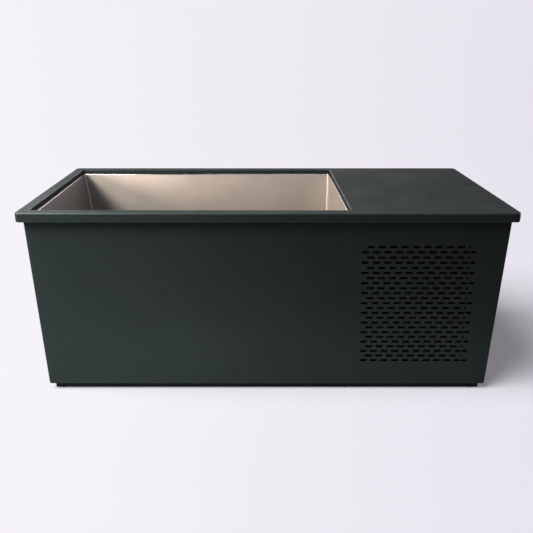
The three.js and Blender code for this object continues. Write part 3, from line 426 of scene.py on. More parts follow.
FINISHES = {
    # second colour of a coat: its paler, bluer edge, partly rub and partly a painted highlight
    "powder": coated_finish(
        "slate powder coat", linear(46, 54, 52), linear(72, 82, 84), 0.6, 1100.0, 0.15 * MM
    ),
    "frame": coated_finish(
        "black frame paint", linear(22, 24, 26), linear(60, 62, 64), 0.6, 600.0, 0.2 * MM
    ),
    "enamel": coated_finish("black enamel", linear(14, 15, 16), linear(50, 50, 52), 0.3, 250.0, 0.1 * MM),
    "stainless": brushed_finish(
        "brushed stainless", linear(175, 174, 171), linear(164, 163, 160), 0.55, 1400.0, 0.03 * MM,
        # brighter edge colour: partly polish, partly a painted highlight
        linear(232, 228, 224),
    ),
    "rubber": moulded_finish(
        "black rubber", linear(20, 20, 21), linear(30, 30, 30), 0.8, 700.0, 30.0, 0.2 * MM
    ),
    "foam": moulded_finish(
        "insulating foam", linear(220, 208, 168), linear(196, 178, 130), 0.92, 160.0, 18.0, 2.0 * MM
    ),
    "zinc": moulded_finish(
        "zinc plate", linear(168, 174, 178), linear(128, 134, 139), 0.42, 60.0, 90.0, 0.05 * MM, 1.0
    ),
    "plastic": moulded_finish(
        "black moulding", linear(26, 28, 30), linear(36, 38, 41), 0.48, 1500.0, 20.0, 0.06 * MM
    ),
    "pvc": moulded_finish(
        "grey pipe", linear(186, 190, 190), linear(170, 174, 175), 0.4, 300.0, 14.0, 0.05 * MM
    ),
    "copper": moulded_finish(
        "copper line", linear(206, 130, 92), linear(150, 84, 56), 0.32, 200.0, 40.0, 0.03 * MM, 1.0
    ),
    # black coat on the condenser; near-black also as painted shade behind the grille's slots
    "aluminium": moulded_finish(
        "black fin coat and painted shade", linear(12, 13, 14), linear(18, 20, 21), 0.8, 500.0, 30.0, 0.05 * MM
    ),
    "brass": moulded_finish(
        "cast brass", linear(204, 166, 92), linear(158, 122, 62), 0.36, 350.0, 60.0, 0.1 * MM, 1.0
    ),
    "lever": moulded_finish(
        "red dipped vinyl", linear(168, 34, 30), linear(140, 24, 22), 0.45, 400.0, 30.0, 0.08 * MM
    ),
    "paper": moulded_finish(
        "filter paper", linear(232, 231, 222), linear(212, 210, 198), 0.9, 900.0, 50.0, 0.3 * MM
    ),
}


def dress_nodes():
    """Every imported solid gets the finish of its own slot."""
    for part in frame["record"]["subparts"]:
        materials = frame["nodes"][part["node"]].data.materials
        materials.clear()
        materials.append(FINISHES[part["material_slot"]])


# Meshes

def add_piece(name, bm, slot, body="tub", replaces=(), bevel=0.0):
    """Finished piece from a mesh in place, in the finish of its slot; bevel softens its sharp edges."""
    mesh = bpy.data.meshes.new(name)
    bmesh.ops.recalc_face_normals(bm, faces=bm.faces)
    bm.normal_update()
    bm.to_mesh(mesh)
    bm.free()
    mesh.shade_smooth()
    mesh.set_sharp_from_angle(angle=SMOOTH_ANGLE)
    mesh.materials.clear()
    mesh.materials.append(FINISHES[slot])
    piece = new_object(name, mesh)
    if bevel:
        edges = piece.modifiers.new("soft edges", "BEVEL")
        edges.width = bevel
        edges.segments = 2
        edges.limit_method = "ANGLE"
        edges.angle_limit = SMOOTH_ANGLE
    normals = piece.modifiers.new("flat faces stay flat", "WEIGHTED_NORMAL")
    normals.keep_sharp = True
    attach(piece, body)
    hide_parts(*replaces)
    return piece


def arc(cx, cy, radius, start, end, steps=CORNER_STEPS):
    angles = [math.radians(start + (end - start) * i / steps) for i in range(steps + 1)]
    return [(cx + radius * math.cos(a), cy + radius * math.sin(a)) for a in angles]


def ring(cx, cy, radius, steps):
    return arc(cx, cy, radius, 0, 360 - 360 / steps, steps - 1)


def round_rect(rect, grow=0.0):
    """Anticlockwise outline of a rectangle with round corners, grown outwards."""
    x0, x1, y0, y1, radius = rect
    r = max(radius + grow, MIN_RADIUS)
    left, right = x0 - grow + r, x1 + grow - r
    front, back = y0 - grow + r, y1 + grow - r
    corners = ((right, front, -90), (right, back, 0), (left, back, 90), (left, front, 180))
    return [p for cx, cy, start in corners for p in arc(cx, cy, r, start, start + 90)]


def quarter(steps=EDGE_STEPS):
    """(sine, one less cosine) of the steps through a right angle."""
    angles = [math.radians(90 * i / steps) for i in range(steps + 1)]
    return [(math.sin(a), 1 - math.cos(a)) for a in angles]


def points_with_sheen_and_wear(bm, points, sheen_and_wear):
    """Points of a mesh that carry how much of the edge's rub and painted highlight they take."""
    wear = bm.verts.layers.float.get("wear") or bm.verts.layers.float.new("wear")
    verts = [bm.verts.new(point) for point in points]
    for vert in verts:
        vert[wear] = sheen_and_wear
    return verts


def bridge(bm, loops, closed=False):
    """Quads between neighbouring loops of (points, z, share of rub and painted highlight); closed joins the
    last to the first.
    """
    rings = [points_with_sheen_and_wear(bm, [(x, y, z) for x, y in points], sheen_and_wear) for points, z, sheen_and_wear in loops]
    pairs = list(zip(rings, rings[1:]))
    if closed:
        pairs.append((rings[-1], rings[0]))
    for low, high in pairs:
        for i in range(len(low)):
            j = (i + 1) % len(low)
            bm.faces.new((low[i], low[j], high[j], high[i]))
    return rings


# Shapes that the smaller pieces are made of

FACE_Y = Matrix.Rotation(-math.pi / 2, 4, "X")  # turns +Z to +Y
FACE_X = Matrix.Rotation(math.pi / 2, 4, "Y")  # turns +Z to +X
FACE_BACK_X = Matrix.Rotation(-math.pi / 2, 4, "Y")  # turns +Z to -X


def at(x, y, z):
    """Place written in millimetres."""
    return Matrix.Translation((x * MM, y * MM, z * MM))


def spun(matrix, degrees):
    """Place turned about its own +Z."""
    return matrix @ Matrix.Rotation(math.radians(degrees), 4, "Z")


def soften(points, radius, steps=EDGE_STEPS):
    """Open line with its inner corners rounded."""
    corners = [Vector(p) for p in points]
    line = [corners[0]]
    for before, corner, after in zip(corners, corners[1:], corners[2:]):
        reach = min(radius, 0.45 * (before - corner).length, 0.45 * (after - corner).length)
        start = corner + (before - corner).normalized() * reach
        end = corner + (after - corner).normalized() * reach
        for i in range(steps + 1):
            share = i / steps
            line.append(start.lerp(corner, share).lerp(corner.lerp(end, share), share))
    return line + [corners[-1]]


def turned(bm, profile, matrix, soft=2.0, steps=TURN_STEPS, hollow=False):
    """Solid of revolution from (radius, along) points in millimetres; hollow joins the last to the first."""
    line = soften(profile, soft)
    loops = [(ring(0, 0, radius * MM, steps), z * MM, 0.0) for radius, z in line]
    rings = bridge(bm, loops, closed=hollow)
    if not hollow:
        bm.faces.new(rings[0])
        bm.faces.new(rings[-1])
    bmesh.ops.transform(bm, matrix=matrix, verts=[vert for ring in rings for vert in ring])


def block(bm, low, high, matrix=Matrix()):
    """Box between two corners, in the frame of a matrix."""
    size = Vector(high) - Vector(low)
    place = matrix @ Matrix.Translation((Vector(high) + Vector(low)) / 2)
    bmesh.ops.create_cube(bm, size=1.0, matrix=place @ Matrix.Diagonal((*size, 1.0)))


def brick(bm, low, high, matrix):
    """Box between two corners in millimetres."""
    block(bm, Vector(low) * MM, Vector(high) * MM, matrix)


def refined(name, nodes, slot, bevel, body="tub"):
    """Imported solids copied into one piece, with softened edges."""
    bm = bmesh.new()
    for node in nodes:
        bm.from_mesh(frame["nodes"][node].data)
    bmesh.ops.remove_doubles(bm, verts=bm.verts, dist=WELD / 2)
    bmesh.ops.dissolve_limit(bm, angle_limit=FLAT_ANGLE, verts=bm.verts, edges=bm.edges)
    add_piece(name, bm, slot, body, nodes, bevel)


def smooth_path(points, steps=8):
    """Points along a smooth line through (x, y, z) points in millimetres."""
    knots = [Vector(p) * MM for p in points]
    line = [2 * knots[0] - knots[1], *knots, 2 * knots[-1] - knots[-2]]
    path = [knots[0]]
    for a, b, c, d in zip(line, line[1:], line[2:], line[3:]):
        before, span, after = ((q - p).length ** 0.5 for p, q in ((a, b), (b, c), (c, d)))
        leave = ((b - a) / before - (c - a) / (before + span) + (c - b) / span) * span
        arrive = ((c - b) / span - (d - b) / (span + after) + (d - c) / after) * span
        for i in range(1, steps + 1):
            t = i / steps
            ends = b * (1 + 2 * t) * (1 - t) ** 2 + c * t ** 2 * (3 - 2 * t)
            path.append(ends + leave * t * (1 - t) ** 2 - arrive * t ** 2 * (1 - t))
    return path


# Rim and deck

def rim_rect():
    low, high = cad_box
    return (low.x, high.x, low.y, high.y, RIM_CORNER)


def opening_rect():
    low, high = cad_box
    corner = BASIN_CORNER + BASIN_INSET
    return (low.x + RIM_STRIP, high.x - DECK_LENGTH, low.y + RIM_STRIP, high.y - RIM_STRIP, corner)


def make_deck():
    """Rim, skirt and deck: one folded sheet, followed round its section from the lip to the skirt."""
    top = cad_box[1].z
    under = top - DECK_SHEET
    lip = [(top - LIP_DROP, 0.0, 0.0), (top - LIP_EDGE - EDGE_BAND, 0.0, 0.0)]
    lip += [(top - LIP_EDGE * (1 - s), LIP_EDGE * c, 1.0) for s, c in quarter()]
    lip += [(top, LIP_EDGE + EDGE_BAND, 0.0)]
    skirt = [(top, -RIM_EDGE - EDGE_BAND, 0.0)]
    skirt += [(top - RIM_EDGE * (1 - s), -RIM_EDGE * c, 1.0) for s, c in reversed(quarter())]
    skirt += [(top - RIM_EDGE - EDGE_BAND, 0.0, 0.0), (BODY_TOP + RIM_HEM + EDGE_BAND, 0.0, 0.0)]
    skirt += [(BODY_TOP + RIM_HEM * (1 - s), -RIM_HEM * c, HEM_WEAR_AND_SHEEN) for s, c in quarter()]
    skirt += [(BODY_TOP, -RIM_HEM - EDGE_BAND, 0.0), (BODY_TOP, -SKIRT_RETURN, 0.0)]
    skirt += [(BODY_TOP + DECK_SHEET, -SKIRT_RETURN, 0.0), (BODY_TOP + DECK_SHEET, -DECK_SHEET, 0.0)]
    skirt += [(under, -DECK_SHEET, 0.0)]
    inside = [(under, DECK_SHEET, 0.0), (top - LIP_DROP, DECK_SHEET, 0.0)]
    loops = [(round_rect(opening_rect(), grow), z, sheen_and_wear) for z, grow, sheen_and_wear in lip]
    loops += [(round_rect(rim_rect(), grow), z, sheen_and_wear) for z, grow, sheen_and_wear in skirt]
    loops += [(round_rect(opening_rect(), grow), z, sheen_and_wear) for z, grow, sheen_and_wear in inside]
    bm = bmesh.new()
    bridge(bm, loops, closed=True)
    add_piece("deck_shell", bm, "powder", replaces=["top_deck"])


# Basin

def basin_rect(z):
    drop = BASIN_TOP - z
    x0, x1, y0, y1, _ = opening_rect()
    side = BASIN_INSET + drop * math.tan(BASIN_DRAFT)
    lean = BASIN_INSET + drop * math.tan(BACKREST)
    return (x0 + lean, x1 - BASIN_INSET, y0 + side, y1 - side, BASIN_CORNER)


def well_loops(grow, top):
    """Loops up the tapered well from its floor fillet; grow moves the surface outwards."""
    radius = BASIN_FILLET + grow
    loops = []
    for s, c in quarter():
        z = BASIN_FLOOR - grow + radius * c
        loops.append((round_rect(basin_rect(z), grow - radius * (1 - s)), z, 0.0))
    loops.append((round_rect(basin_rect(top), grow), top, 0.0))
    return loops


def make_basin():
    """Stainless well, up to its rounded edge."""
    loops = well_loops(0.0, EDGE_START) + well_loops(BASIN_SHEET, EDGE_START)[::-1]
    bm = bmesh.new()
    rings = bridge(bm, loops)
    bm.faces.new(rings[0])
    bm.faces.new(rings[-1])
    return add_piece("basin_well", bm, "stainless", replaces=["basin"])


def make_basin_edge():
    """Rounded edge of the well, smoothed by polish and brightened by a painted highlight, and the flange
    behind it under the deck's lip.
    """
    under = BASIN_TOP - BASIN_SHEET
    loops = [(round_rect(basin_rect(EDGE_START)), EDGE_START, 0.0)]
    for s, c in quarter():
        z = BASIN_TOP - BASIN_EDGE * (1 - s)
        loops.append((round_rect(basin_rect(z), BASIN_EDGE * c), z, 1.0))
    loops.append((round_rect(opening_rect(), BASIN_FLANGE), BASIN_TOP, 0.0))
    loops.append((round_rect(opening_rect(), BASIN_FLANGE), under, 0.0))
    for z in (under, EDGE_START):
        loops.append((round_rect(basin_rect(z), BASIN_SHEET), z, 0.0))
    bm = bmesh.new()
    bridge(bm, loops, closed=True)
    add_piece("basin_edge", bm, "stainless")


# Casing sheets

def half_length(z):
    return HALF_TOP.x - (BODY_TOP - z) * math.tan(DRAFT)


def half_width(z):
    return HALF_TOP.y - (BODY_TOP - z) * math.tan(DRAFT)


def on_rear(x, z):
    """Place on the rear face: +Y points out of it and +Z runs up it."""
    return Matrix.Translation((x, half_width(z), z)) @ Matrix.Rotation(-DRAFT, 4, "X")


def on_right_end(y, z):
    """Place on the right end: +X points out of it and +Z runs up it."""
    return Matrix.Translation((half_length(z), y, z)) @ Matrix.Rotation(DRAFT, 4, "Y")


def casing_corner(z, inset, sign_x, sign_y, start):
    radius = max(CASING_CORNER - inset, MIN_RADIUS)
    cx = sign_x * (half_length(z) - inset - radius)
    cy = sign_y * (half_width(z) - inset - radius)
    return arc(cx, cy, radius, start, start + 90)


def front_left_wrap(z, inset):
    end = (-half_length(z) + inset, -half_width(z) + CASING_RETURN)
    return [end] + casing_corner(z, inset, -1, -1, 180)


def front_right_wrap(z, inset):
    end = (half_length(z) - inset, -half_width(z) + CASING_RETURN)
    return casing_corner(z, inset, 1, -1, 270) + [end]


def front_path(z, inset):
    return front_left_wrap(z, inset) + front_right_wrap(z, inset)


def right_wrap(z, inset):
    end = (DOOR.right + DOOR.gap, half_width(z) - inset)
    return casing_corner(z, inset, 1, 1, 0) + [end]


def right_path(z, inset):
    start = (half_length(z) - inset, -half_width(z) + CASING_RETURN + SEAM)
    return [start] + right_wrap(z, inset)


def rear_path(z, inset):
    start = (DOOR.left - DOOR.gap, half_width(z) - inset)
    end = (-half_length(z) + inset, half_width(z) - CASING_RETURN)
    return [start] + casing_corner(z, inset, -1, 1, 90) + [end]


def left_path(z, inset):
    reach = half_width(z) - CASING_RETURN - SEAM
    return [(-half_length(z) + inset, reach), (-half_length(z) + inset, -reach)]


# Upright part of a casing sheet, and the bend and fold under it, as (z, inset, share of rub and painted
# highlight) points
SHEET_UPRIGHT = (
    (SHEET_FOOT, CASING_SHEET, 0.0),
    (CASING_TOP, CASING_SHEET, 0.0),
    (CASING_TOP, 0.0, 0.0),
    (SHEET_FOOT, 0.0, 0.0),
)
SHEET_FOLD = (
    (SHEET_FOOT, 0.0, 0.0),
    *((CASING_BOTTOM + BEND * (1 - s), BEND * c, FOLD_WEAR_AND_SHEEN) for s, c in quarter()),
    (CASING_BOTTOM, BEND + EDGE_BAND, 0.0),
    (CASING_BOTTOM, FOLD_DEPTH, 0.0),
    (CASING_BOTTOM + CASING_SHEET, FOLD_DEPTH, 0.0),
    (CASING_BOTTOM + CASING_SHEET, CASING_SHEET, 0.0),
    (SHEET_FOOT, CASING_SHEET, 0.0),
)


def sweep_sheet(bm, path, section, open_end=None):
    """Sheet swept along a path; open_end leaves its first or last end uncapped."""
    lines = []
    for z, inset, sheen_and_wear in section:
        lines.append(points_with_sheen_and_wear(bm, [(x, y, z) for x, y in path(z, inset)], sheen_and_wear))
    for one, two in zip(lines, lines[1:]):
        for i in range(len(one) - 1):
            bm.faces.new((one[i], one[i + 1], two[i + 1], two[i]))
    if open_end != "first":
        bm.faces.new([line[0] for line in lines])
    if open_end != "last":
        bm.faces.new([line[-1] for line in lines])


def weld(bm):
    bmesh.ops.remove_doubles(bm, verts=bm.verts, dist=WELD)


def folded_sheet(path):
    """Mesh of a plain casing sheet with the fold along its bottom."""
    bm = bmesh.new()
    sweep_sheet(bm, path, SHEET_UPRIGHT)
    sweep_sheet(bm, path, SHEET_FOLD)
    weld(bm)
    return bm


def make_left_panel():
    add_piece("left_end_sheet", folded_sheet(left_path), "powder", replaces=["left_end_panel"])


def make_rear_panel():
    """Rear sheet with the deep fold that the door's latch closes behind."""
    bm = folded_sheet(rear_path)
    place = on_rear(DOOR.left - DOOR.gap, (DOOR.fold_bottom + DOOR.top) / 2)
    rise = (DOOR.top - DOOR.fold_bottom) / 2
    block(bm, (-CASING_SHEET, -LATCH.fold, -rise), (0, -CASING_SHEET / 2, rise), place)
    add_piece("rear_sheet", bm, "powder", replaces=["rear_panel"])


# Punched sheets

def point_place(tree):
    return add_node(tree, "GeometryNodeInputPosition").outputs[0]


def realised(tree, geometry):
    return add_node(tree, "GeometryNodeRealizeInstances", {0: geometry}).outputs[0]


def copies(tree, points, shape, **more):
    """One copy of a shape at every point."""
    spots = {"Points": points, "Instance": shape, **more}
    return add_node(tree, "GeometryNodeInstanceOnPoints", spots).outputs[0]


def joined(tree, *parts):
    node = add_node(tree, "GeometryNodeJoinGeometry")
    for part in parts:
        tree.links.new(part, node.inputs[0])
    return node.outputs[0]


def filled(tree, *lines):
    """Flat face inside the first line and outside the others."""
    return add_node(tree, "GeometryNodeFillCurve", {"Curve": joined(tree, *lines)}).outputs[0]


def circle_line(tree, sides, radius):
    sizes = {"Resolution": sides, "Radius": radius}
    return add_node(tree, "GeometryNodeCurvePrimitiveCircle", sizes).outputs[0]


def grid_points(tree, columns, rows, pitch, row_pitch):
    """Points in columns and rows round the origin."""
    sizes = {}
    for side, count, step in (("X", columns, pitch), ("Y", rows, row_pitch)):
        sizes[f"Size {side}"] = times(tree, calculate(tree, "SUBTRACT", count, 1.0), step)
        sizes[f"Vertices {side}"] = count
    return add_node(tree, "GeometryNodeMeshGrid", sizes).outputs["Mesh"]


def thicken(tree, face, wall):
    """Closed shell from a flat face and its copy moved by wall."""
    solid = add_node(tree, "GeometryNodeExtrudeMesh", {"Mesh": face, "Offset": wall, "Individual": False})
    merged = {"Geometry": joined(tree, face, solid.outputs[0]), "Distance": WELD}
    return add_node(tree, "GeometryNodeMergeByDistance", merged).outputs[0]


def finish_tree(tree, geometry, finish, result):
    covered = {"Geometry": realised(tree, geometry), "Material": finish}
    tree.links.new(add_node(tree, "GeometryNodeSetMaterial", covered).outputs[0], result)


def make_hole_tree():
    """Rows and columns of hole outlines, centred on a point of the XY plane; Lean shifts the lower rows."""
    inputs = {
        "Length": ("Float", SLOT_LENGTH),
        "Height": ("Float", SLOT_HEIGHT),
        "Round": ("Float", ROUND_END),
        "Pitch": ("Float", SLOT_PITCH),
        "Row Pitch": ("Float", ROW_PITCH),
        "Columns": ("Int", 1),
        "Rows": ("Int", 1),
        "Lean": ("Float", 0.0),
        "Centre": ("Vector", (0, 0, 0)),
    }
    tree, given, result = new_tree("hole rows", "GeometryNodeTree", inputs, {"Outlines": "Geometry"})
    sides = {"Width": given["Length"], "Height": given["Height"]}
    outline = add_node(tree, "GeometryNodeCurvePrimitiveQuadrilateral", sides)
    radius = times(tree, given["Height"], given["Round"])
    corners = {"Curve": outline.outputs[0], "Radius": radius, "Count": SLOT_END_STEPS}
    hole = add_node(tree, "GeometryNodeFilletCurve", corners, mode="POLY")
    grid = grid_points(tree, given["Columns"], given["Rows"], given["Pitch"], given["Row Pitch"])
    lean = times(tree, parts_of(tree, point_place(tree))["Y"], given["Lean"])
    sideways = vector_of(tree, times(tree, lean, -1.0))
    leaning = add_node(tree, "GeometryNodeSetPosition", {"Geometry": grid, "Offset": sideways})
    holes = copies(tree, leaning.outputs[0], hole.outputs[0])
    placed = add_node(tree, "GeometryNodeTransform", {"Geometry": holes, "Translation": given["Centre"]})
    tree.links.new(realised(tree, placed.outputs[0]), result["Outlines"])
    return tree


HOLE_TREE = make_hole_tree()


def make_sheet_tree(name, hole_sets):
    """Sheet filled round its holes, thickened along Wall, then turned and set in place."""
    inputs = {
        "Bottom Width": ("Float", 1.0),
        "Top Width": ("Float", 1.0),
        "Rise": ("Float", 1.0),
        "Wall": ("Vector", (0, 0, 0)),
        "Turn": ("Vector", (0, 0, 0)),
        "Place": ("Vector", (0, 0, 0)),
        "Finish": ("Material", None),
    }
    hole_inputs = [item for item in HOLE_TREE.interface.items_tree if item.in_out == "INPUT"]
    for label in hole_sets:
        for item in hole_inputs:
            kind = item.socket_type.removeprefix("NodeSocket")
            inputs[f"{label} {item.name}"] = (kind, item.default_value)
    tree, given, result = new_tree(name, "GeometryNodeTree", inputs, {"Sheet": "Geometry"})
    sides = {"Height": given["Rise"], "Offset": 0.0}
    for width in ("Bottom Width", "Top Width"):
        sides[width] = given[width]
    outline = add_node(tree, "GeometryNodeCurvePrimitiveQuadrilateral", sides, mode="TRAPEZOID")
    lines = [outline.outputs[0]]
    for label in hole_sets:
        holes = add_node(tree, "GeometryNodeGroup", node_tree=HOLE_TREE)
        for socket in holes.inputs:
            tree.links.new(given[f"{label} {socket.name}"], socket)
        lines.append(holes.outputs[0])
    sheet = thicken(tree, filled(tree, *lines), given["Wall"])
    moved = {"Geometry": sheet, "Translation": given["Place"], "Rotation": given["Turn"]}
    placed = add_node(tree, "GeometryNodeTransform", moved)
    finish_tree(tree, placed.outputs[0], given["Finish"], result["Sheet"])
    return tree


def mesh_from_tree(tree, values, start=None):
    """Plain mesh that a geometry node tree makes from the named values and a starting mesh."""
    holder = new_object(tree.name, start or bpy.data.meshes.new(tree.name))
    modifier = holder.modifiers.new("shape", "NODES")
    modifier.node_group = tree
    for item in tree.interface.items_tree:
        if item.name in values and item.in_out == "INPUT":
            modifier[item.identifier] = values[item.name]
    depsgraph = bpy.context.evaluated_depsgraph_get()
    mesh = bpy.data.meshes.new_from_object(holder.evaluated_get(depsgraph))
    bpy.data.objects.remove(holder)
    return mesh


def punched_flat(name, bottom, top, widths, heading, middle, holes):
    """Mesh of a leaning flat with named sets of holes; heading turns it from the front to another side."""
    values = {
        "Bottom Width": widths[0],
        "Top Width": widths[1],
        "Rise": (top - bottom) / math.cos(DRAFT),
        "Wall": (0.0, -CASING_SHEET * math.sin(DRAFT), -CASING_SHEET * math.cos(DRAFT)),
        "Turn": (math.pi / 2 + DRAFT, 0.0, heading),
        "Place": (*middle, (bottom + top) / 2),
        "Finish": FINISHES["powder"],
    }
    for label, sizes in holes.items():
        for size, value in sizes.items():
            values[f"{label} {size}"] = value
    bm = bmesh.new()
    bm.from_mesh(mesh_from_tree(make_sheet_tree(name, list(holes)), values))
    # faces that are walls of the holes are marked for painted shade
    painted_hole_shade = bm.faces.layers.float.new("painted_hole_shade")
    outward = Vector((math.sin(heading), -math.cos(heading), 0.0))
    for face in bm.faces:
        face[painted_hole_shade] = float(abs(face.normal.dot(outward)) < 0.5)
    return bm


def drop_faces(bm, unwanted):
    bmesh.ops.delete(bm, geom=[face for face in bm.faces if unwanted(face)], context="FACES")


def open_foot(bm):
    """Takes away the lower edge of a flat, where the fold carries on."""
    foot = SHEET_FOOT + EDGE_BAND
    drop_faces(bm, lambda face: face.normal.z < -0.9 and face.calc_center_median().z < foot)


def grille_holes():
    """The five sets of slots and dots in the front sheet, measured from the middle of its flat."""
    middle = (SHEET_FOOT + CASING_TOP) / 2
    rows = SLOT_ROWS // 2
    mid_column = (SLOTS_PER_ROW - 1) / 2

    def centre(pitches, row):
        mid_row = rows - 1 + row
        x = GRILLE_X + pitches * SLOT_PITCH + mid_row * ROW_SHIFT
        z = BODY_TOP - GRILLE_DROP - mid_row * ROW_PITCH
        return (x, (z - middle) / math.cos(DRAFT), 0.0)

    sets = {
        "Staggered": {"Columns": SLOTS_PER_ROW, "Centre": centre(mid_column + 0.5, 0)},
        "Straight": {"Columns": SLOTS_PER_ROW, "Centre": centre(mid_column, 1)},
        "Dot": {"Length": SLOT_HEIGHT, "Centre": centre(END_DOT_PITCHES, 0)},
    }
    for number, (pitches, length) in enumerate(END_SLOTS):
        sets[f"End {number + 1}"] = {"Length": length, "Centre": centre(pitches, 1)}
    for sizes in sets.values():
        sizes.update({"Rows": rows, "Row Pitch": 2 * ROW_PITCH, "Lean": ROW_SHIFT / ROW_PITCH})
    return sets


def make_front_panel():
    """Front sheet: punched flat, corners wrapped round to the ends, and a fold along the bottom."""
    widths = [2 * (half_length(z) - CASING_CORNER) for z in (SHEET_FOOT, CASING_TOP)]
    middle = (0.0, -half_width((SHEET_FOOT + CASING_TOP) / 2))
    bm = punched_flat("front grille", SHEET_FOOT, CASING_TOP, widths, 0.0, middle, grille_holes())
    edge = widths[0] / 2 - 1 * MM
    drop_faces(bm, lambda face: abs(face.normal.x) > 0.9 and abs(face.calc_center_median().x) > edge)
    open_foot(bm)
    sweep_sheet(bm, front_left_wrap, SHEET_UPRIGHT, open_end="last")
    sweep_sheet(bm, front_right_wrap, SHEET_UPRIGHT, open_end="first")
    sweep_sheet(bm, front_path, SHEET_FOLD)
    weld(bm)
    add_piece("front_grille_panel", bm, "powder", replaces=["front_panel"])


def make_right_panel():
    """Right end sheet, punched for the power inlet and the drain and wrapped round the rear corner."""
    front = CASING_RETURN + SEAM
    middle_z = (SHEET_FOOT + CASING_TOP) / 2
    widths = [2 * half_width(z) - front - CASING_CORNER for z in (SHEET_FOOT, CASING_TOP)]
    centre_y = (front - CASING_CORNER) / 2

    def hole(y, z, length, height, rounding):
        centre = (y - centre_y, (z - middle_z) / math.cos(DRAFT), 0.0)
        return {"Length": length, "Height": height, "Round": rounding, "Centre": centre}

    drain = 2 * DRAIN_HOLE
    holes = {
        "Inlet": hole(INLET.y, INLET.z, INLET.hole_width, INLET.hole_height, 0.1),
        "Drain": hole(DRAIN_OUTLET.y, DRAIN_OUTLET.z, drain, drain, ROUND_END),
    }
    middle = (half_length(middle_z), centre_y)
    bm = punched_flat("right end", SHEET_FOOT, CASING_TOP, widths, math.pi / 2, middle, holes)
    edge = half_width(SHEET_FOOT) - 2 * CASING_CORNER
    drop_faces(bm, lambda face: face.normal.y > 0.9 and face.calc_center_median().y > edge)
    open_foot(bm)
    sweep_sheet(bm, right_wrap, SHEET_UPRIGHT, open_end="first")
    sweep_sheet(bm, right_path, SHEET_FOLD)
    weld(bm)
    add_piece("right_end_sheet", bm, "powder", replaces=["right_end_panel"])


# Repeated and swept details

def make_screw_tree():
    """Low screw heads with a round recess, facing +Z on the points of a mesh."""
    inputs = {"Spots": ("Geometry", None), "Radius": ("Float", 3 * MM), "Finish": ("Material", None)}
    tree, given, result = new_tree("screws", "GeometryNodeTree", inputs, {"Screws": "Geometry"})
    top = times(tree, given["Radius"], 0.8)
    tall = times(tree, given["Radius"], 0.7)
    sizes = {"Vertices": SCREW_SIDES, "Radius Top": top, "Radius Bottom": given["Radius"], "Depth": tall}
    head = add_node(tree, "GeometryNodeMeshCone", sizes)
    normal = parts_of(tree, add_node(tree, "GeometryNodeInputNormal").outputs[0])
    up = calculate(tree, "GREATER_THAN", normal["Z"], 0.9)
    crown = {"Mesh": head.outputs[0], "Selection": up, "Offset Scale": 0.0, "Individual": False}
    inset = add_node(tree, "GeometryNodeExtrudeMesh", crown)
    small = {"Geometry": inset.outputs["Mesh"], "Selection": inset.outputs["Top"], "Scale": 0.6}
    rim = add_node(tree, "GeometryNodeScaleElements", small)
    down = vector_of(tree, z=times(tree, tall, -0.7))
    deep = {"Mesh": rim.outputs[0], "Selection": inset.outputs["Top"], "Offset": down, "Individual": False}
    socket = add_node(tree, "GeometryNodeExtrudeMesh", deep)
    heads = copies(tree, given["Spots"], socket.outputs["Mesh"])
    finish_tree(tree, heads, given["Finish"], result["Screws"])
    return tree


def make_rib_tree():
    """Ring of upright ribs round the Z axis."""
    inputs = {
        "Count": ("Int", 12),
        "Radius": ("Float", 50 * MM),
        "Size": ("Vector", mm_size(4, 2, 10)),
        "Finish": ("Material", None),
    }
    tree, given, result = new_tree("ring of ribs", "GeometryNodeTree", inputs, {"Ribs": "Geometry"})
    circle = add_node(tree, "GeometryNodeMeshCircle", {"Vertices": given["Count"], "Radius": given["Radius"]})
    rib = add_node(tree, "GeometryNodeMeshCube", {"Size": given["Size"]})
    outward = {"Vector": point_place(tree)}
    turn = add_node(tree, "FunctionNodeAlignRotationToVector", outward, axis="X").outputs[0]
    ribs = copies(tree, circle.outputs[0], rib.outputs["Mesh"], Rotation=turn)
    finish_tree(tree, ribs, given["Finish"], result["Ribs"])
    return tree


def make_fin_tree():
    """Row of thin fins along X, starting at the origin."""
    inputs = {
        "Count": ("Int", 40),
        "Pitch": ("Float", 4 * MM),
        "Size": ("Vector", mm_size(0.5, 40, 500)),
        "Finish": ("Material", None),
    }
    tree, given, result = new_tree("row of fins", "GeometryNodeTree", inputs, {"Fins": "Geometry"})
    steps = {"Count": given["Count"], "Offset": vector_of(tree, given["Pitch"])}
    row = add_node(tree, "GeometryNodeMeshLine", steps)
    fin = add_node(tree, "GeometryNodeMeshCube", {"Size": given["Size"]})
    finish_tree(tree, copies(tree, row.outputs[0], fin.outputs["Mesh"]), given["Finish"], result["Fins"])
    return tree


def make_pipe_tree():
    """Round pipe along every line of a mesh, with a sleeve over each end."""
    inputs = {
        "Lines": ("Geometry", None),
        "Radius": ("Float", 15 * MM),
        "Sleeve Radius": ("Float", 18 * MM),
        "Sleeve Length": ("Float", 36 * MM),
        "Finish": ("Material", None),
    }
    tree, given, result = new_tree("pipe runs", "GeometryNodeTree", inputs, {"Pipes": "Geometry"})
    curve = add_node(tree, "GeometryNodeMeshToCurve", {"Mesh": given["Lines"]}).outputs[0]
    section = circle_line(tree, PIPE_SIDES, given["Radius"])
    swept = {"Curve": curve, "Profile Curve": section, "Fill Caps": True}
    pipes = add_node(tree, "GeometryNodeCurveToMesh", swept)
    sizes = {"Vertices": PIPE_SIDES, "Radius": given["Sleeve Radius"], "Depth": given["Sleeve Length"]}
    sleeve = add_node(tree, "GeometryNodeMeshCylinder", sizes)
    along = {"Vector": add_node(tree, "GeometryNodeInputTangent").outputs[0]}
    turn = add_node(tree, "FunctionNodeAlignRotationToVector", along, axis="Z").outputs[0]
    ends = add_node(tree, "GeometryNodeCurveEndpointSelection").outputs[0]
    sleeves = copies(tree, curve, sleeve.outputs["Mesh"], Selection=ends, Rotation=turn)
    both = joined(tree, pipes.outputs[0], sleeves)
    finish_tree(tree, both, given["Finish"], result["Pipes"])
    return tree


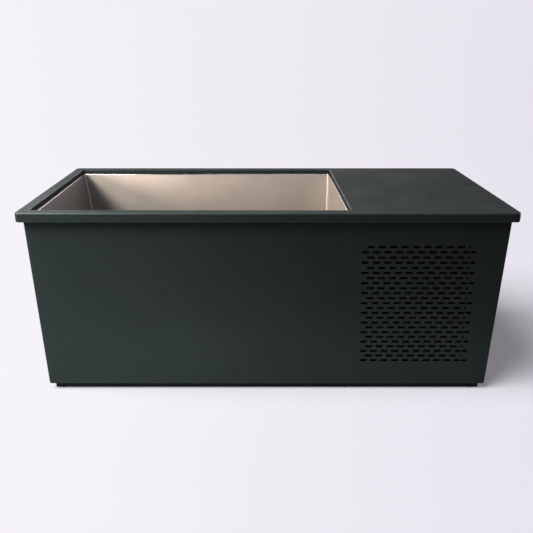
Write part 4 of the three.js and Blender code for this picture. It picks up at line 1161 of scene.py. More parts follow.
def make_grate_tree():
    """Round plate facing +Z, punched with a square grid of holes that keeps clear of its edge."""
    inputs = {
        "Radius": ("Float", 29 * MM),
        "Hole": ("Float", 2 * MM),
        "Pitch": ("Float", 7 * MM),
        "Holes Across": ("Int", 9),
        "Sheet": ("Float", 1.5 * MM),
        "Finish": ("Material", None),
    }
    tree, given, result = new_tree("grate", "GeometryNodeTree", inputs, {"Grate": "Geometry"})
    count, pitch = given["Holes Across"], given["Pitch"]
    grid = grid_points(tree, count, count, pitch, pitch)
    limit = calculate(tree, "SUBTRACT", given["Radius"], times(tree, given["Hole"], 1.8))
    beyond = calculate(tree, "GREATER_THAN", length_of(tree, point_place(tree)), limit)
    kept = add_node(tree, "GeometryNodeDeleteGeometry", {"Geometry": grid, "Selection": beyond}).outputs[0]
    holes = realised(tree, copies(tree, kept, circle_line(tree, GRATE_HOLE_SIDES, given["Hole"])))
    face = filled(tree, circle_line(tree, TURN_STEPS, given["Radius"]), holes)
    wall = vector_of(tree, z=times(tree, given["Sheet"], -1.0))
    finish_tree(tree, thicken(tree, face, wall), given["Finish"], result["Grate"])
    return tree


SCREW_TREE = make_screw_tree()
RIB_TREE = make_rib_tree()
FIN_TREE = make_fin_tree()
PIPE_TREE = make_pipe_tree()
GRATE_TREE = make_grate_tree()


def grow(bm, tree, values, slot, matrix=Matrix(), start=None):
    """Adds what a node tree makes, set in place by a matrix."""
    mesh = mesh_from_tree(tree, {**values, "Finish": FINISHES[slot]}, start)
    mesh.transform(matrix)
    bm.from_mesh(mesh)


def add_screws(bm, matrix, spots, radius, slot):
    """Screws at (x, y) spots of a matrix, facing its +Z."""
    start = bpy.data.meshes.new("screw spots")
    start.from_pydata([(x, y, 0.0) for x, y in spots], [], [])
    grow(bm, SCREW_TREE, {"Radius": radius}, slot, matrix, start)


def add_ribs(bm, matrix, count, radius, size, slot):
    """Ring of ribs round the +Z of a matrix; radius and size in millimetres."""
    values = {"Count": count, "Radius": radius * MM, "Size": mm_size(*size)}
    grow(bm, RIB_TREE, values, slot, matrix)


def add_pipes(bm, paths, radius, sleeve, length, slot):
    """Pipes along lists of points, with sleeves on their ends; sizes in millimetres."""
    points = []
    edges = []
    for path in paths:
        first = len(points)
        points += path
        edges += [(first + i, first + i + 1) for i in range(len(path) - 1)]
    start = bpy.data.meshes.new("pipe lines")
    start.from_pydata(points, edges, [])
    sizes = {"Radius": radius * MM, "Sleeve Radius": sleeve * MM, "Sleeve Length": length * MM}
    grow(bm, PIPE_TREE, sizes, slot, Matrix(), start)


# Service door

def make_door():
    """Vented door: a flat pan with its edges folded in."""
    width = DOOR.right - DOOR.left
    middle_x = (DOOR.left + DOOR.right) / 2
    middle_z = (DOOR.bottom + DOOR.top) / 2
    rise = (DOOR.top - DOOR.bottom) / 2 / math.cos(DRAFT)
    vent_mid = VENT.z + (VENT_ROWS - 1) / 2 * VENT.row_pitch
    hole = 2 * LATCH.hole
    holes = {
        "Vent": {
            "Length": VENT.length,
            "Height": VENT.height,
            "Pitch": VENT.pitch,
            "Row Pitch": VENT.row_pitch,
            "Columns": VENT_COLUMNS,
            "Rows": VENT_ROWS,
            "Centre": (0.0, vent_mid - middle_z, 0.0),
        },
        "Latch": {"Length": hole, "Height": hole, "Centre": (middle_x - LATCH.x, LATCH.z - middle_z, 0.0)},
    }
    middle = (middle_x, half_width(middle_z))
    bm = punched_flat("door", DOOR.bottom, DOOR.top, (width, width), math.pi, middle, holes)
    side = width / 2
    deep, face = -DOOR.edge, -CASING_SHEET
    place = on_rear(middle_x, middle_z)
    for sign in (-1, 1):
        ends = sorted((sign * side, sign * (side - CASING_SHEET)))
        block(bm, (ends[0], deep, -rise), (ends[1], face, rise), place)
        levels = sorted((sign * rise, sign * (rise - CASING_SHEET)))
        block(bm, (-side, deep, levels[0]), (side, face, levels[1]), place)
    add_piece("door_pan", bm, "powder", "door", ["service_door"], bevel=0.5 * MM)


def hinge_axle(z):
    return on_rear(HINGE.x, z) @ Matrix.Translation((0, HINGE.radius + HINGE.gap, 0))


def hinge_half(bm, z, bottom, top, leaf, plate):
    """One half of a hinge: a rolled knuckle, its leaf on the sheet and two screws in it."""
    place = on_rear(HINGE.x, z)
    turned(bm, [(3.0, bottom), (5.5, bottom), (5.5, top), (3.0, top)], hinge_axle(z), 0.7)
    low, high = sorted((0.0, leaf))
    block(bm, (low, plate, bottom * MM), (high, plate + HINGE.leaf, top * MM), place)
    rise = (top - bottom) / 2 * MM
    spots = [(leaf * 0.68, -(bottom * MM + rise * (1 + share))) for share in (-0.5, 0.5)]
    add_screws(bm, place @ Matrix.Translation((0, plate + HINGE.leaf, 0)) @ FACE_Y, spots, 2.6 * MM, "zinc")


def make_hinges():
    """Lift-off hinges: the door's half sits on the pin of the fixed half."""
    door_leaves = bmesh.new()
    for node, z in HINGE_HEIGHTS.items():
        hinge_half(door_leaves, z, 0.3, 28, -HINGE.door_leaf, 0.1 * MM)
        fixed = bmesh.new()
        hinge_half(fixed, z, -28, 0, HINGE.fixed_leaf, 0.3 * MM)
        turned(fixed, [(2.6, -1), (2.6, 25), (1.0, 26.5)], hinge_axle(z), 0.8)
        add_piece(node + "_half", fixed, "zinc", replaces=[node], bevel=0.4 * MM)
    add_piece("door_hinge_halves", door_leaves, "zinc", "door", bevel=0.4 * MM)


def make_latch():
    """Quarter-turn latch: a bevelled knob with a finger grip, and a tongue behind the door."""
    place = on_rear(LATCH.x, LATCH.z)
    out = place @ FACE_Y
    bm = bmesh.new()
    turned(bm, [(6, -26), (6, 0.3), (15, 0.3), (15, 3), (12, 6), (9, 6), (8.4, 5.4), (2, 5.4)], out, 0.8)
    brick(bm, (-2.5, 5, -11), (2.5, 10, 11), place)
    brick(bm, (-6, -27, -38), (6, -24, 8), place)
    turned(bm, [(5, -30), (5, -26.5)], out, 0.4, steps=6)
    add_piece("quarter_turn_latch", bm, "zinc", "latch", ["door_latch"], bevel=0.6 * MM)


# Basin seal and fittings

def make_gasket():
    """Black seal under the deck's lip, with a bulb that stands up in front of the lip's lower edge; the
    bulb's black band is also painted shade for the gap under the lip.
    """
    low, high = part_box("basin_gasket")
    bulb_top = high.z + BULB_RISE
    section = [(low.z, GASKET_WIDTH), (low.z, -GASKET_BULB), (bulb_top, -GASKET_BULB)]
    section += [(bulb_top, -BULB_GAP), (high.z, -BULB_GAP), (high.z, GASKET_WIDTH)]
    bm = bmesh.new()
    bridge(bm, [(round_rect(opening_rect(), wide), z, 0.0) for z, wide in section], closed=True)
    add_piece("basin_seal", bm, "rubber", replaces=["basin_gasket"], bevel=0.4 * MM)


def make_fitting(node, slot, matrix, tail, radius):
    """Basin fitting: dished flange, recessed face, perforated cover and the screw that holds it."""
    profile = [(radius, -tail), (radius, 0.3), (36, 0.3), (36, 1.2), (34, 3.3), (31.5, 5)]
    profile += [(29.5, 5), (29, 1), (5, 1)]
    bm = bmesh.new()
    turned(bm, profile, matrix, 0.8)
    grow(bm, GRATE_TREE, {}, slot, matrix @ at(0, 0, 4))
    turned(bm, [(6, 3), (6, 4.4), (4, 4.6)], matrix, 0.4)
    add_screws(bm, matrix @ at(0, 0, 4.6), [(0, 0)], 2 * MM, slot)
    return add_piece(node + "_cover", bm, slot, replaces=[node])


def make_fittings():
    wall = (opening_rect()[1] - BASIN_INSET) / MM
    suction = make_fitting("suction_fitting", "plastic", at(wall, 200, 200) @ FACE_BACK_X, 38, 16)
    back_flow = make_fitting("return_fitting", "plastic", at(wall, -30, 480) @ FACE_BACK_X, 38, 16)
    drain = make_fitting("drain_fitting", "stainless", at(180, 100, 110), 14, 18)
    return [suction, back_flow, drain]


# Base frame

def make_frame():
    """Welded tube frame, equipment tray and bulkhead foam with softened edges."""
    kinds = ("base_rail", "cross_rail", "bay_post", "top_rail")
    refined("tube_frame", [node for node in frame["nodes"] if node.startswith(kinds)], "frame", 1.5 * MM)
    refined("bulkhead_foam", ["insulation_bulkhead"], "foam", 3 * MM)
    refined("tray_pan", ["equipment_tray"], "zinc", 0.8 * MM)


def make_pads():
    """Rubber foot pads under the rails."""
    nodes = [node for node in frame["nodes"] if node.startswith("foot_pad")]
    bm = bmesh.new()
    for node in nodes:
        low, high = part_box(node)
        middle = (low + high) / 2
        place = Matrix.Translation((middle.x, middle.y, 0.0))
        turned(bm, [(10, 0), (15, 0), (14.5, 2.7), (10, 2.7)], place, 0.6)
    add_piece("foot_pads", bm, "rubber", replaces=nodes)


# Refrigeration

def make_fins():
    """Condenser: thin fins between two tube plates."""
    bm = bmesh.new()
    size = (FIN_SHEET, COIL.depth - FIN_MARGIN, COIL.top - COIL.bottom - FIN_MARGIN)
    middle = Vector((COIL.left + FIN_PITCH, COIL.back - COIL.depth / 2, (COIL.top + COIL.bottom) / 2))
    count = int((COIL.right - COIL.left) / FIN_PITCH) - 1
    row = {"Count": count, "Pitch": FIN_PITCH, "Size": size}
    grow(bm, FIN_TREE, row, "aluminium", Matrix.Translation(middle))
    for x in (COIL.left, COIL.right - COIL.plate):
        block(bm, (x, COIL.back - COIL.depth, COIL.bottom), (x + COIL.plate, COIL.back, COIL.top))
    add_piece("condenser_fins", bm, "aluminium", replaces=["condenser_coil"])


def make_bends():
    """Hairpin bends and pipe stubs outside the condenser's right-hand plate, black like the fins as painted
    shade behind the slots.
    """
    middle = COIL.back - COIL.depth / 2
    half_turn = [math.radians(15 * i) for i in range(13)]
    bends = []
    for number in range(COIL_BENDS):
        y = middle + (BEND_STAGGER if number % 2 else -BEND_STAGGER)
        z = COIL.bottom + (number + 1) * COIL.bend_pitch
        bends.append([(COIL.right + 9 * MM * math.sin(a), y, z + 12 * MM * math.cos(a)) for a in half_turn])
    bm = bmesh.new()
    # the fins' black instead of copper: painted shade behind the slots
    add_pipes(bm, bends, 4.5, 5.4, 3, "aluminium")
    for z in COIL_PORTS:
        turned(bm, [(6, -4), (6, 10)], Matrix.Translation((COIL.right, middle, z)) @ FACE_X, 0.5)
    add_piece("hairpin_bends", bm, "aluminium")


def make_shroud():
    """Fan plate with a rolled duct round the rotor, and a screw at each corner."""
    bm = bmesh.new()
    front = COIL.back + 0.3 * MM
    outline = [(COIL.left, COIL.bottom), (COIL.right, COIL.bottom)]
    outline += [(COIL.right, COIL.top), (COIL.left, COIL.top)]
    edges = []
    for line in (ring(FAN.x, FAN.z, FAN.duct, DUCT_STEPS), outline):
        verts = [bm.verts.new((x, front + SHROUD_SHEET, z)) for x, z in line]
        edges += [bm.edges.new((one, two)) for one, two in zip(verts, verts[1:] + verts[:1])]
    bmesh.ops.triangle_fill(bm, use_beauty=True, edges=edges)
    bmesh.ops.recalc_face_normals(bm, faces=bm.faces)
    bmesh.ops.solidify(bm, geom=bm.faces[:], thickness=SHROUD_SHEET)
    place = Matrix.Translation((FAN.x, front, FAN.z)) @ FACE_Y
    duct = [(165.5, 0.5), (165.5, 37), (170, 37), (170, 34), (168, 33), (168, 0.5)]
    turned(bm, duct, place, 1.0, steps=DUCT_STEPS, hollow=True)
    spots = [((x - FAN.x) * SCREW_REACH, (FAN.z - z) * SCREW_REACH) for x, z in outline]
    add_screws(bm, place @ Matrix.Translation((0, 0, SHROUD_SHEET)), spots, 4 * MM, "zinc")
    add_piece("fan_plate", bm, "zinc", replaces=["fan_shroud"])


def blade(bm, matrix):
    """Cambered blade, pitched across the hub's axis and rounded at its tip."""
    pitch = math.radians(28)
    rows = []
    for i in range(9):
        share = i / 8
        radius = (40 + 117 * share) * MM
        wide = math.radians(26 - 7 * share) * (1 - 0.4 * share ** 8)
        row = []
        for j in range(9):
            across = j / 4 - 1
            side = radius * math.sin(across * wide)
            along = side * math.sin(pitch) - 4 * MM * (1 - across ** 2)
            row.append(bm.verts.new((radius * math.cos(across * wide), side * math.cos(pitch), along)))
        rows.append(row)
    faces = []
    for one, two in zip(rows, rows[1:]):
        faces += [bm.faces.new((one[j], one[j + 1], two[j + 1], two[j])) for j in range(8)]
    shell = bmesh.ops.solidify(bm, geom=faces, thickness=2.4 * MM)["geom"]
    verts = {vert for row in rows for vert in row}
    verts.update(part for part in shell if isinstance(part, bmesh.types.BMVert))
    bmesh.ops.transform(bm, matrix=matrix, verts=list(verts))


def make_rotor():
    """Fan rotor: cambered blades round a domed hub."""
    place = Matrix.Translation((FAN.x, FAN.y, FAN.z)) @ FACE_Y
    bm = bmesh.new()
    turned(bm, [(8, -27), (32, -27), (42, -20), (42, 26), (38, 26), (37, 10), (8, 10)], place, 4.0)
    for number in range(FAN_BLADES):
        blade(bm, spun(place, -360 / FAN_BLADES * number))
    add_piece("bladed_rotor", bm, "plastic", "fan", ["fan_rotor"])


def make_motor():
    """Fan motor on four arms that stand on the fan plate."""
    place = Matrix.Translation((FAN.x, 0, FAN.z)) @ FACE_Y
    bm = bmesh.new()
    can = [(6, -221.7), (6, -214), (20, -212), (44, -212), (50, -206), (50, -158), (38, -152), (10, -152)]
    turned(bm, can, place, 3.0)
    add_ribs(bm, place @ at(0, 0, -182), 36, 50, (3, 2, 34), "enamel")
    for angle in (45, 135, 225, 315):
        arm = spun(place, angle)
        brick(bm, (44, -5, -209), (179, 5, -203), arm)
        brick(bm, (171, -5, -296), (179, 5, -203), arm)
    add_piece("fan_motor_can", bm, "enamel", replaces=["fan_motor"], bevel=0.8 * MM)


def make_compressor():
    """Welded compressor can on three feet, with its terminal cover and pipe stubs."""
    place = at(730, -30, TRAY_TOP)
    bm = bmesh.new()
    shell = [(20, 12), (53, 12), (73, 34), (73, 132), (76, 134), (76, 142)]
    shell += [(75, 144), (75, 222), (60, 256), (20, 269)]
    turned(bm, shell, place, 14.0, steps=VESSEL_STEPS)
    for angle in (90, 210, 330):
        foot = spun(place, angle)
        brick(bm, (30, -12, 10), (83, 12, 18), foot)
        turned(bm, [(7, 0), (10, 0), (10, 10), (7, 10)], foot @ at(72, 0, 0), 2.0)
        turned(bm, [(4, 17), (6, 18), (6, 23)], foot @ at(72, 0, 0), 0.4, steps=6)
    brick(bm, (-20, 58, 150), (20, 82, 205), place)
    turned(bm, [(6, 240), (6, 280)], place @ at(-30, 0, 0), 0.5)
    turned(bm, [(7, -12), (7, 12)], place @ at(-74, 0, 100) @ FACE_X, 0.5)
    add_piece("compressor_can", bm, "enamel", replaces=["compressor"], bevel=1.0 * MM)


def make_exchanger():
    """Heat exchanger vessel: banded lid, ribs under the clamp and four ports."""
    place = at(470, -30, TRAY_TOP)
    bm = bmesh.new()
    vessel = [(20, 0), (73, 0), (85, 12), (85, 268), (89, 270), (89, 284)]
    vessel += [(81, 286), (70, 302), (55, 310), (20, 310)]
    turned(bm, vessel, place, 5.0, steps=VESSEL_STEPS)
    add_ribs(bm, place @ at(0, 0, 259), 24, 86, (5, 4, 18), "plastic")
    for z in (70, 190):
        band = [(84, z), (86.5, z), (86.5, z + 10), (84, z + 10)]
        turned(bm, band, place, 0.8, steps=VESSEL_STEPS, hollow=True)
    turned(bm, [(18, 306), (18, 318), (15, 318), (15, 328)], place, 1.0)
    turned(bm, [(18, 75), (18, 90), (15, 90), (15, 101)], place @ at(0, 0, 200.4) @ FACE_X, 1.0)
    turned(bm, [(6, -95), (6, -75)], place @ at(0, 0, 70) @ FACE_Y, 0.5)
    turned(bm, [(6, 65), (6, 95)], place @ at(0, -30, 150) @ FACE_X, 0.5)
    add_piece("exchanger_vessel", bm, "plastic", replaces=["heat_exchanger"], bevel=0.6 * MM)


# Water circuit

def make_pump():
    """Pump: volute with a bolted cover, finned motor, foot and terminal box."""
    place = at(440, 200, 115)
    axis = place @ FACE_X
    bm = bmesh.new()
    body = [(8, -10), (15, -10), (15, 0), (52, 0), (60, 6), (60, 38)]
    body += [(52, 44), (46, 48), (46, 146), (38, 160), (8, 160)]
    turned(bm, body, axis, 4.0)
    add_ribs(bm, axis @ at(0, 0, 98), 32, 46, (6, 2, 84), "plastic")
    spots = arc(0, 0, 54 * MM, 30, 330, 5)
    add_screws(bm, axis @ Matrix.Rotation(math.pi, 4, "X"), spots, 4 * MM, "plastic")
    turned(bm, [(18, 40), (18, 62), (15, 62), (15, 76)], place @ at(22, 0, 0), 1.0)
    brick(bm, (22, -40, -65.4), (138, 40, -57), place)
    brick(bm, (40, -24, -60), (120, 24, -40), place)
    brick(bm, (70, -26, 40), (126, 26, 66), place)
    add_piece("pump_unit", bm, "plastic", replaces=["circulation_pump"], bevel=1.0 * MM)


def make_filter():
    """Filter bowl with ribs under its collar and round its foot, and two side ports."""
    place = at(690, 200, TRAY_TOP)
    bm = bmesh.new()
    bowl = [(20, 0), (62, 0), (70, 12), (70, 258), (76, 264), (76, 280), (64, 280), (64, 12), (20, 12)]
    turned(bm, bowl, place, 3.0, steps=VESSEL_STEPS)
    add_ribs(bm, place @ at(0, 0, 238), 20, 71, (8, 3, 46), "plastic")
    add_ribs(bm, place @ at(0, 0, 22), 20, 66, (7, 3, 30), "plastic")
    for port in (at(0, 0, 240.4) @ FACE_BACK_X, at(0, 0, 200.4) @ Matrix.Rotation(math.pi / 2, 4, "X")):
        turned(bm, [(19, 64), (19, 76), (15, 76), (15, 84)], place @ port, 1.0)
    add_piece("filter_bowl", bm, "plastic", replaces=["filter_housing"], bevel=0.6 * MM)


def make_filter_cap():
    """Twist-off lid: ribbed skirt, two bayonet ears and a bar to turn it by."""
    place = at(690, 200, 329.6)
    bm = bmesh.new()
    lid = [(20, -20), (60, -20), (60, 0.3), (77, 0.3), (77, 18), (64, 28), (52, 31), (20, 32)]
    turned(bm, lid, place, 2.5, steps=VESSEL_STEPS)
    add_ribs(bm, place @ at(0, 0, 9.5), 36, 76.5, (2.6, 3, 13), "plastic")
    brick(bm, (-54, -6, 26), (54, 6, 46), place)
    brick(bm, (-82, -9, 4), (82, 9, 14), place)
    add_piece("filter_lid", bm, "plastic", "filter_lid", ["filter_cap"], bevel=1.2 * MM)


# Centre lines of the pipes, in millimetres from port to port
WATER_RUNS = {
    "suction_pipe": ((333, 200, 200), (349, 200, 200), (414, 200, 115), (430, 200, 115)),
    "filter_pipe": ((462, 200, 191), (462, 200, 231), (500, 200, 290), (566, 200, 290), (606, 200, 290)),
    "exchanger_pipe": ((690, 116, 250), (690, 96, 250), (640, 40, 250), (591, -30, 250), (571, -30, 250)),
    "return_pipe": ((470, -30, 378), (470, -30, 418), (420, -30, 475), (357, -30, 480), (333, -30, 480)),
}
DRAIN_RUN = ((180, 100, 96), (180, 100, 90), (190, 100, 76), (210, 100, 72), (710, 100, 72), (770, 100, 72))
COPPER_RUNS = {
    "discharge_line": (
        (700, -30, 330), (700, -30, 380), (770, -110, 440), (792, -230, 500), (792, -291, 536),
        (785, -321, 540), (770, -321, 540),
    ),
    "liquid_line": (
        (770, -321, 120), (785, -321, 120), (795, -291, 116), (790, -200, 90), (700, -155, 80),
        (520, -150, 90), (470, -144, 119.6), (470, -125, 119.6),
    ),
    "suction_line": ((565, -60, 199.6), (582, -60, 199.6), (626, -30, 149.6), (645, -30, 149.6)),
}


def make_pipes():
    """Grey water pipes and copper lines, sleeved where they meet their ports."""
    water = bmesh.new()
    add_pipes(water, [smooth_path(run) for run in WATER_RUNS.values()], 15, 18.5, 34, "pvc")
    add_pipes(water, [smooth_path(DRAIN_RUN)], 14, 17, 26, "pvc")
    add_piece("water_pipes", water, "pvc", replaces=[*WATER_RUNS, "drain_pipe"], bevel=0.8 * MM)
    lines = bmesh.new()
    add_pipes(lines, [smooth_path(run) for run in COPPER_RUNS.values()], 5, 7, 18, "copper")
    add_piece("refrigerant_lines", lines, "copper", replaces=list(COPPER_RUNS), bevel=0.5 * MM)


def make_valve():
    """Ball valve with six-sided ends, and a threaded outlet through the right end."""
    place = at(792, 100, 72)
    axis = place @ FACE_X
    outlet = (half_length(72 * MM) + 18 * MM) / MM - 792
    bm = bmesh.new()
    for low, high in ((-22, -12), (12, 22)):
        turned(bm, [(10, low), (18, low), (18, high), (10, high)], axis, 1.0, steps=6)
    turned(bm, [(10, -14), (16, -14), (20, -8), (20, 8), (16, 14), (10, 14)], axis, 3.0)
    spout = [(10, 18), (14, 20), (14, outlet - 16)]
    for ridge in range(4):
        start = outlet - 16 + 3.5 * ridge
        spout += [(14, start + 0.5), (13, start + 1.5), (13, start + 2), (14, start + 3)]
    spout += [(13, outlet), (10.5, outlet), (10, outlet - 14), (4, outlet - 15)]
    turned(bm, spout, axis, 0.3)
    turned(bm, [(10, 10), (10, 20), (7, 22), (7, 27)], place, 0.6)
    add_piece("ball_valve", bm, "brass", replaces=["drain_valve_body"], bevel=0.5 * MM)


def make_lever():
    """Lever with a cranked, dipped handle and a nut over its spindle."""
    place = at(792, 100, 72)
    bm = bmesh.new()
    turned(bm, [(4, 27.3), (9, 27.3), (9, 34), (4, 34)], place, 0.8)
    turned(bm, [(3, 33.6), (5, 33.6), (5, 36)], place, 0.3, steps=6)
    brick(bm, (-5, 4, 31), (5, 30, 34), place)
    brick(bm, (-6, 26, 30.6), (6, 56, 35), place)
    add_piece("dipped_lever", bm, "lever", "valve_lever", ["drain_valve_lever"], bevel=1.2 * MM)


# Electrics

def make_control_box():
    """Control box with a screwed lid and three cable glands under it."""
    place = on_right_end(120 * MM, 500 * MM)
    bm = bmesh.new()
    brick(bm, (-50, -90, -80), (-2.9, 90, 80), place)
    brick(bm, (-57.8, -88, -78), (-50.8, 88, 78), place)
    spots = [(z * MM, y * MM) for z in (-70, 70) for y in (-80, 80)]
    add_screws(bm, place @ at(-57.8, 0, 0) @ FACE_BACK_X, spots, 4 * MM, "plastic")
    gland = [(4, -104), (7, -102), (9, -98), (9, -92), (12, -92), (12, -79)]
    for y in (-50, 0, 50):
        turned(bm, gland, place @ at(-28, y, 0), 1.0, steps=12)
    add_piece("controller_case", bm, "plastic", replaces=["control_box"], bevel=2.0 * MM)


def make_inlet():
    """Power inlet with softened edges and two screws in its flange."""
    refined("inlet_socket", ["power_inlet"], "plastic", 0.6 * MM)
    bm = bmesh.new()
    spots = [(0.0, y * MM) for y in (-21.5, 21.5)]
    add_screws(bm, on_right_end(INLET.y, INLET.z) @ at(4, 0, 0) @ FACE_X, spots, 2.4 * MM, "zinc")
    add_piece("inlet_screws", bm, "zinc")


# Studio

PALE_LEFT = linear(245, 242, 249)
PALE_RIGHT = linear(231, 227, 236)
PALE_SPAN = 0.4  # sideways share of a direction at which the two pale colours are reached
FLOOR_RADIUS = 14.0
FLOOR_SIDES = 96
FLOOR_SOFT = 1.2  # evens out the two pale colours near the camera
LIT_RADIUS = 2.0  # where the floor starts to fade into the backdrop, and where it has faded
FADE_RADIUS = 6.0
LIT_GLOW = 0.24  # share of the floor's own glow round the tub
BOUNCE = (0.05, 0.05, 0.053, 1.0)  # what the floor throws back onto the tub
WALL_RISE = 0.25  # how steeply the backdrop is still pale, and where the dim ceiling starts
CEILING_RISE = 0.5
CEILING = 0.03
SUN_SIDE = (-0.81, -0.35, 1.0)
SUN_WIDTH = math.radians(44)
SUN_STRENGTH = 4.15
SKY = (0.96, 0.98, 1.0, 1.0)
SKY_STRENGTH = 0.03
BEAM = math.radians(50)  # narrow lamp that reaches the basin's floor and leaves its walls alone
WHITE = (1.0, 1.0, 1.0)
WARM = (1.0, 0.85, 0.73)
ROSE = (1.0, 0.74, 0.61)
COOL = (0.84, 0.92, 1.0)


def seen_rays(tree):
    """1 for rays that show a surface to the eye, straight or in a reflection."""
    path = add_node(tree, "ShaderNodeLightPath").outputs
    shown = calculate(tree, "MAXIMUM", path["Is Camera Ray"], path["Is Glossy Ray"])
    return calculate(tree, "MAXIMUM", shown, path["Is Transmission Ray"])


def make_sweep_group():
    """Pale backdrop colour, a little darker towards +X; Soft evens it out near the middle of the floor."""
    inputs = {"Vector": ("Vector", None), "Soft": ("Float", 0.0)}
    tree, given, result = new_tree("pale sweep", "ShaderNodeTree", inputs, {"Color": "Color"})
    parts = parts_of(tree, given["Vector"])
    reach = length_of(tree, vector_of(tree, parts["X"], parts["Y"], given["Soft"]))
    share = map_range(tree, calculate(tree, "DIVIDE", parts["X"], reach), -PALE_SPAN, PALE_SPAN, 0.0, 1.0)
    tree.links.new(blend_colour(tree, share, PALE_LEFT, PALE_RIGHT), result["Color"])
    return tree


SWEEP = make_sweep_group()


def mix_shaders(tree, factor, one, two):
    return add_node(tree, "ShaderNodeMixShader", {0: factor, 1: one.outputs[0], 2: two.outputs[0]}).outputs[0]


def make_world():
    world = bpy.data.worlds.new("studio")
    world.use_nodes = True
    bpy.context.scene.world = world
    tree = world.node_tree
    tree.nodes.clear()
    direction = add_node(tree, "ShaderNodeTexCoord").outputs["Generated"]
    pale = use_group(tree, SWEEP, Vector=direction)["Color"]
    wall = map_range(tree, parts_of(tree, direction)["Z"], WALL_RISE, CEILING_RISE, 1.0, CEILING)
    light = add_node(tree, "ShaderNodeBackground", {"Color": SKY, "Strength": SKY_STRENGTH})
    backdrop = add_node(tree, "ShaderNodeBackground", {"Color": pale, "Strength": wall})
    add_node(tree, "ShaderNodeOutputWorld", {"Surface": mix_shaders(tree, seen_rays(tree), light, backdrop)})


def floor_finish():
    """Pale finish that keeps the tub's shadow and fades into the backdrop far away."""
    material = bpy.data.materials.new("pale floor")
    material.use_nodes = True
    tree = material.node_tree
    tree.nodes.clear()
    place = own_place(tree)
    far = map_range(tree, length_of(tree, place), LIT_RADIUS, FADE_RADIUS, LIT_GLOW, 1.0)
    share = times(tree, far, seen_rays(tree))
    centre = (CAMERA_PLACE[0], CAMERA_PLACE[1], 0.0)
    outward = add_node(tree, "ShaderNodeVectorMath", {0: place, 1: centre}, operation="SUBTRACT").outputs[0]
    pale = use_group(tree, SWEEP, Vector=outward, Soft=FLOOR_SOFT)["Color"]
    shown = blend_colour(tree, seen_rays(tree), BOUNCE, pale)
    lit = add_node(tree, "ShaderNodeBsdfDiffuse", {"Color": shown})
    glow = add_node(tree, "ShaderNodeEmission", {"Color": pale, "Strength": 1.0})
    add_node(tree, "ShaderNodeOutputMaterial", {"Surface": mix_shaders(tree, share, lit, glow)})
    return material


def make_floor():
    bm = bmesh.new()
    bmesh.ops.create_circle(bm, cap_ends=True, segments=FLOOR_SIDES, radius=FLOOR_RADIUS)
    mesh = bpy.data.meshes.new("floor")
    bm.to_mesh(mesh)
    bm.free()
    mesh.materials.append(floor_finish())
    floor = new_object("floor", mesh)
    return floor


def lamp_group(name, pieces, state):
    """Collection that gives a lamp only these pieces, or everything but these pieces."""
    group = bpy.data.collections.new(name)
    for piece in pieces:
        group.objects.link(piece)
    for link in group.collection_objects:
        link.light_linking.link_state = state
    return group


def add_lamp(name, data, place, target, receivers):
    lamp = new_object(name, data)
    lamp.location = place
    lamp.visible_camera = False
    lamp.light_linking.receiver_collection = receivers
    lamp.rotation_euler = (Vector(target) - Vector(place)).to_track_quat("-Z", "Y").to_euler()


def add_panel(receivers, name, place, target, size, power, colour=WHITE, beam=math.pi):
    """Soft panel at a place, turned to a target; size is its width and height."""
    data = bpy.data.lights.new(name, "AREA")
    data.color = colour
    data.shape = "RECTANGLE"
    data.size, data.size_y = size
    data.energy = power
    data.spread = beam
    add_lamp(name, data, place, target, receivers)


def light_floor(floor):
    """Wide sun that lays the tub's soft shadow on the floor."""
    only_floor = lamp_group("lit floor", [floor], "INCLUDE")
    data = bpy.data.lights.new("floor sun", "SUN")
    data.energy = SUN_STRENGTH
    data.angle = SUN_WIDTH
    add_lamp("floor sun", data, SUN_SIDE, (0, 0, 0), only_floor)


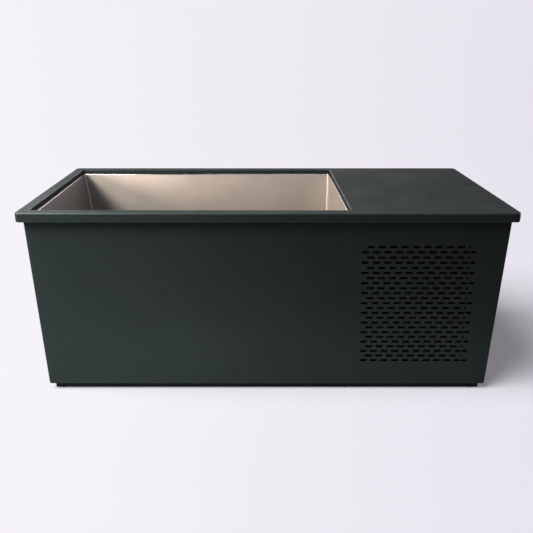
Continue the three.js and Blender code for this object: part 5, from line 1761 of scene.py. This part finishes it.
def light_casing(floor, basin):
    """Panels that light the casing from the left, and faintly from the rear and the right."""
    casing = lamp_group("all but the floor and the basin", [floor, *basin], "EXCLUDE")
    add_panel(casing, "high panel", (-1.6, -0.9, 1.85), (-0.7, -0.4, 0.5), (1.0, 1.0), 65.0)
    add_panel(casing, "edge panel", (-1.55, -2.7, 2.2), (-0.7, -0.42, 0.73), (0.3, 0.3), 4.0, COOL)
    add_panel(casing, "top panel", (0.5, 0.8, 3.0), (0.5, 0.3, 0.73), (2.0, 1.0), 27.0)
    add_panel(casing, "low panel", (-1.9, -1.1, 0.3), (-0.8, -0.4, 0.2), (0.6, 0.5), 5.5)
    add_panel(casing, "foot panel", (-0.3, -0.72, 0.05), (-0.3, -0.4, 0.1), (2.6, 0.1), 1.75)
    add_panel(casing, "left foot panel", (-0.8, -0.8, 0.05), (-0.8, -0.4, 0.12), (1.4, 0.1), 1.3)
    add_panel(casing, "back panel", (-1.9, 2.2, 1.35), (-0.88, 0.0, 0.73), (0.8, 0.5), 7.0)
    add_panel(casing, "rear panel", (0.3, 2.8, 0.6), (0.3, 0.4, 0.35), (2.0, 0.6), 26.0)
    add_panel(casing, "right panel", (2.8, 0.2, 0.45), (0.9, 0.0, 0.35), (1.0, 0.5), 12.0)


def light_basin(basin):
    """Warm panels that light the basin's back and right walls, and a narrow one for its floor."""
    only_basin = lamp_group("lit basin", basin, "INCLUDE")
    add_panel(only_basin, "basin panel", (-1.7, -1.8, 1.7), (-0.6, 0.37, 0.6), (0.5, 0.5), 80.0, WARM)
    add_panel(only_basin, "basin side panel", (-2.6, -1.2, 1.2), (0.2, 0.3, 0.6), (0.6, 0.6), 172.0, ROSE)
    above, below = (-0.28, 0.0, 0.9), (-0.28, 0.0, 0.1)
    add_panel(only_basin, "basin floor panel", above, below, (0.9, 0.5), 1.0, beam=BEAM)


def make_camera():
    data = bpy.data.cameras.new("camera")
    data.sensor_width = SENSOR
    data.lens = FOCAL_PIXELS / IMAGE * SENSOR
    data.shift_x = (IMAGE / 2 - MIDDLE_PIXEL) / IMAGE
    camera = new_object("camera", data)
    camera.location = CAMERA_PLACE
    camera.rotation_euler = (math.pi / 2 - CAMERA_PITCH, 0, 0)
    bpy.context.scene.camera = camera


bpy.context.scene.view_settings.view_transform = "Standard"
make_camera()
make_world()
floor = make_floor()

dress_nodes()
make_deck()
basin = [make_basin(), *make_fittings()]
make_basin_edge()
make_gasket()
make_front_panel()
make_left_panel()
make_right_panel()
make_rear_panel()
make_door()
make_hinges()
make_latch()
make_frame()
make_pads()
make_fins()
make_bends()
make_shroud()
make_rotor()
make_motor()
make_compressor()
make_exchanger()
make_pump()
make_filter()
make_filter_cap()
make_pipes()
make_valve()
make_lever()
make_control_box()
make_inlet()

light_floor(floor)
light_casing(floor, basin)
light_basin(basin)
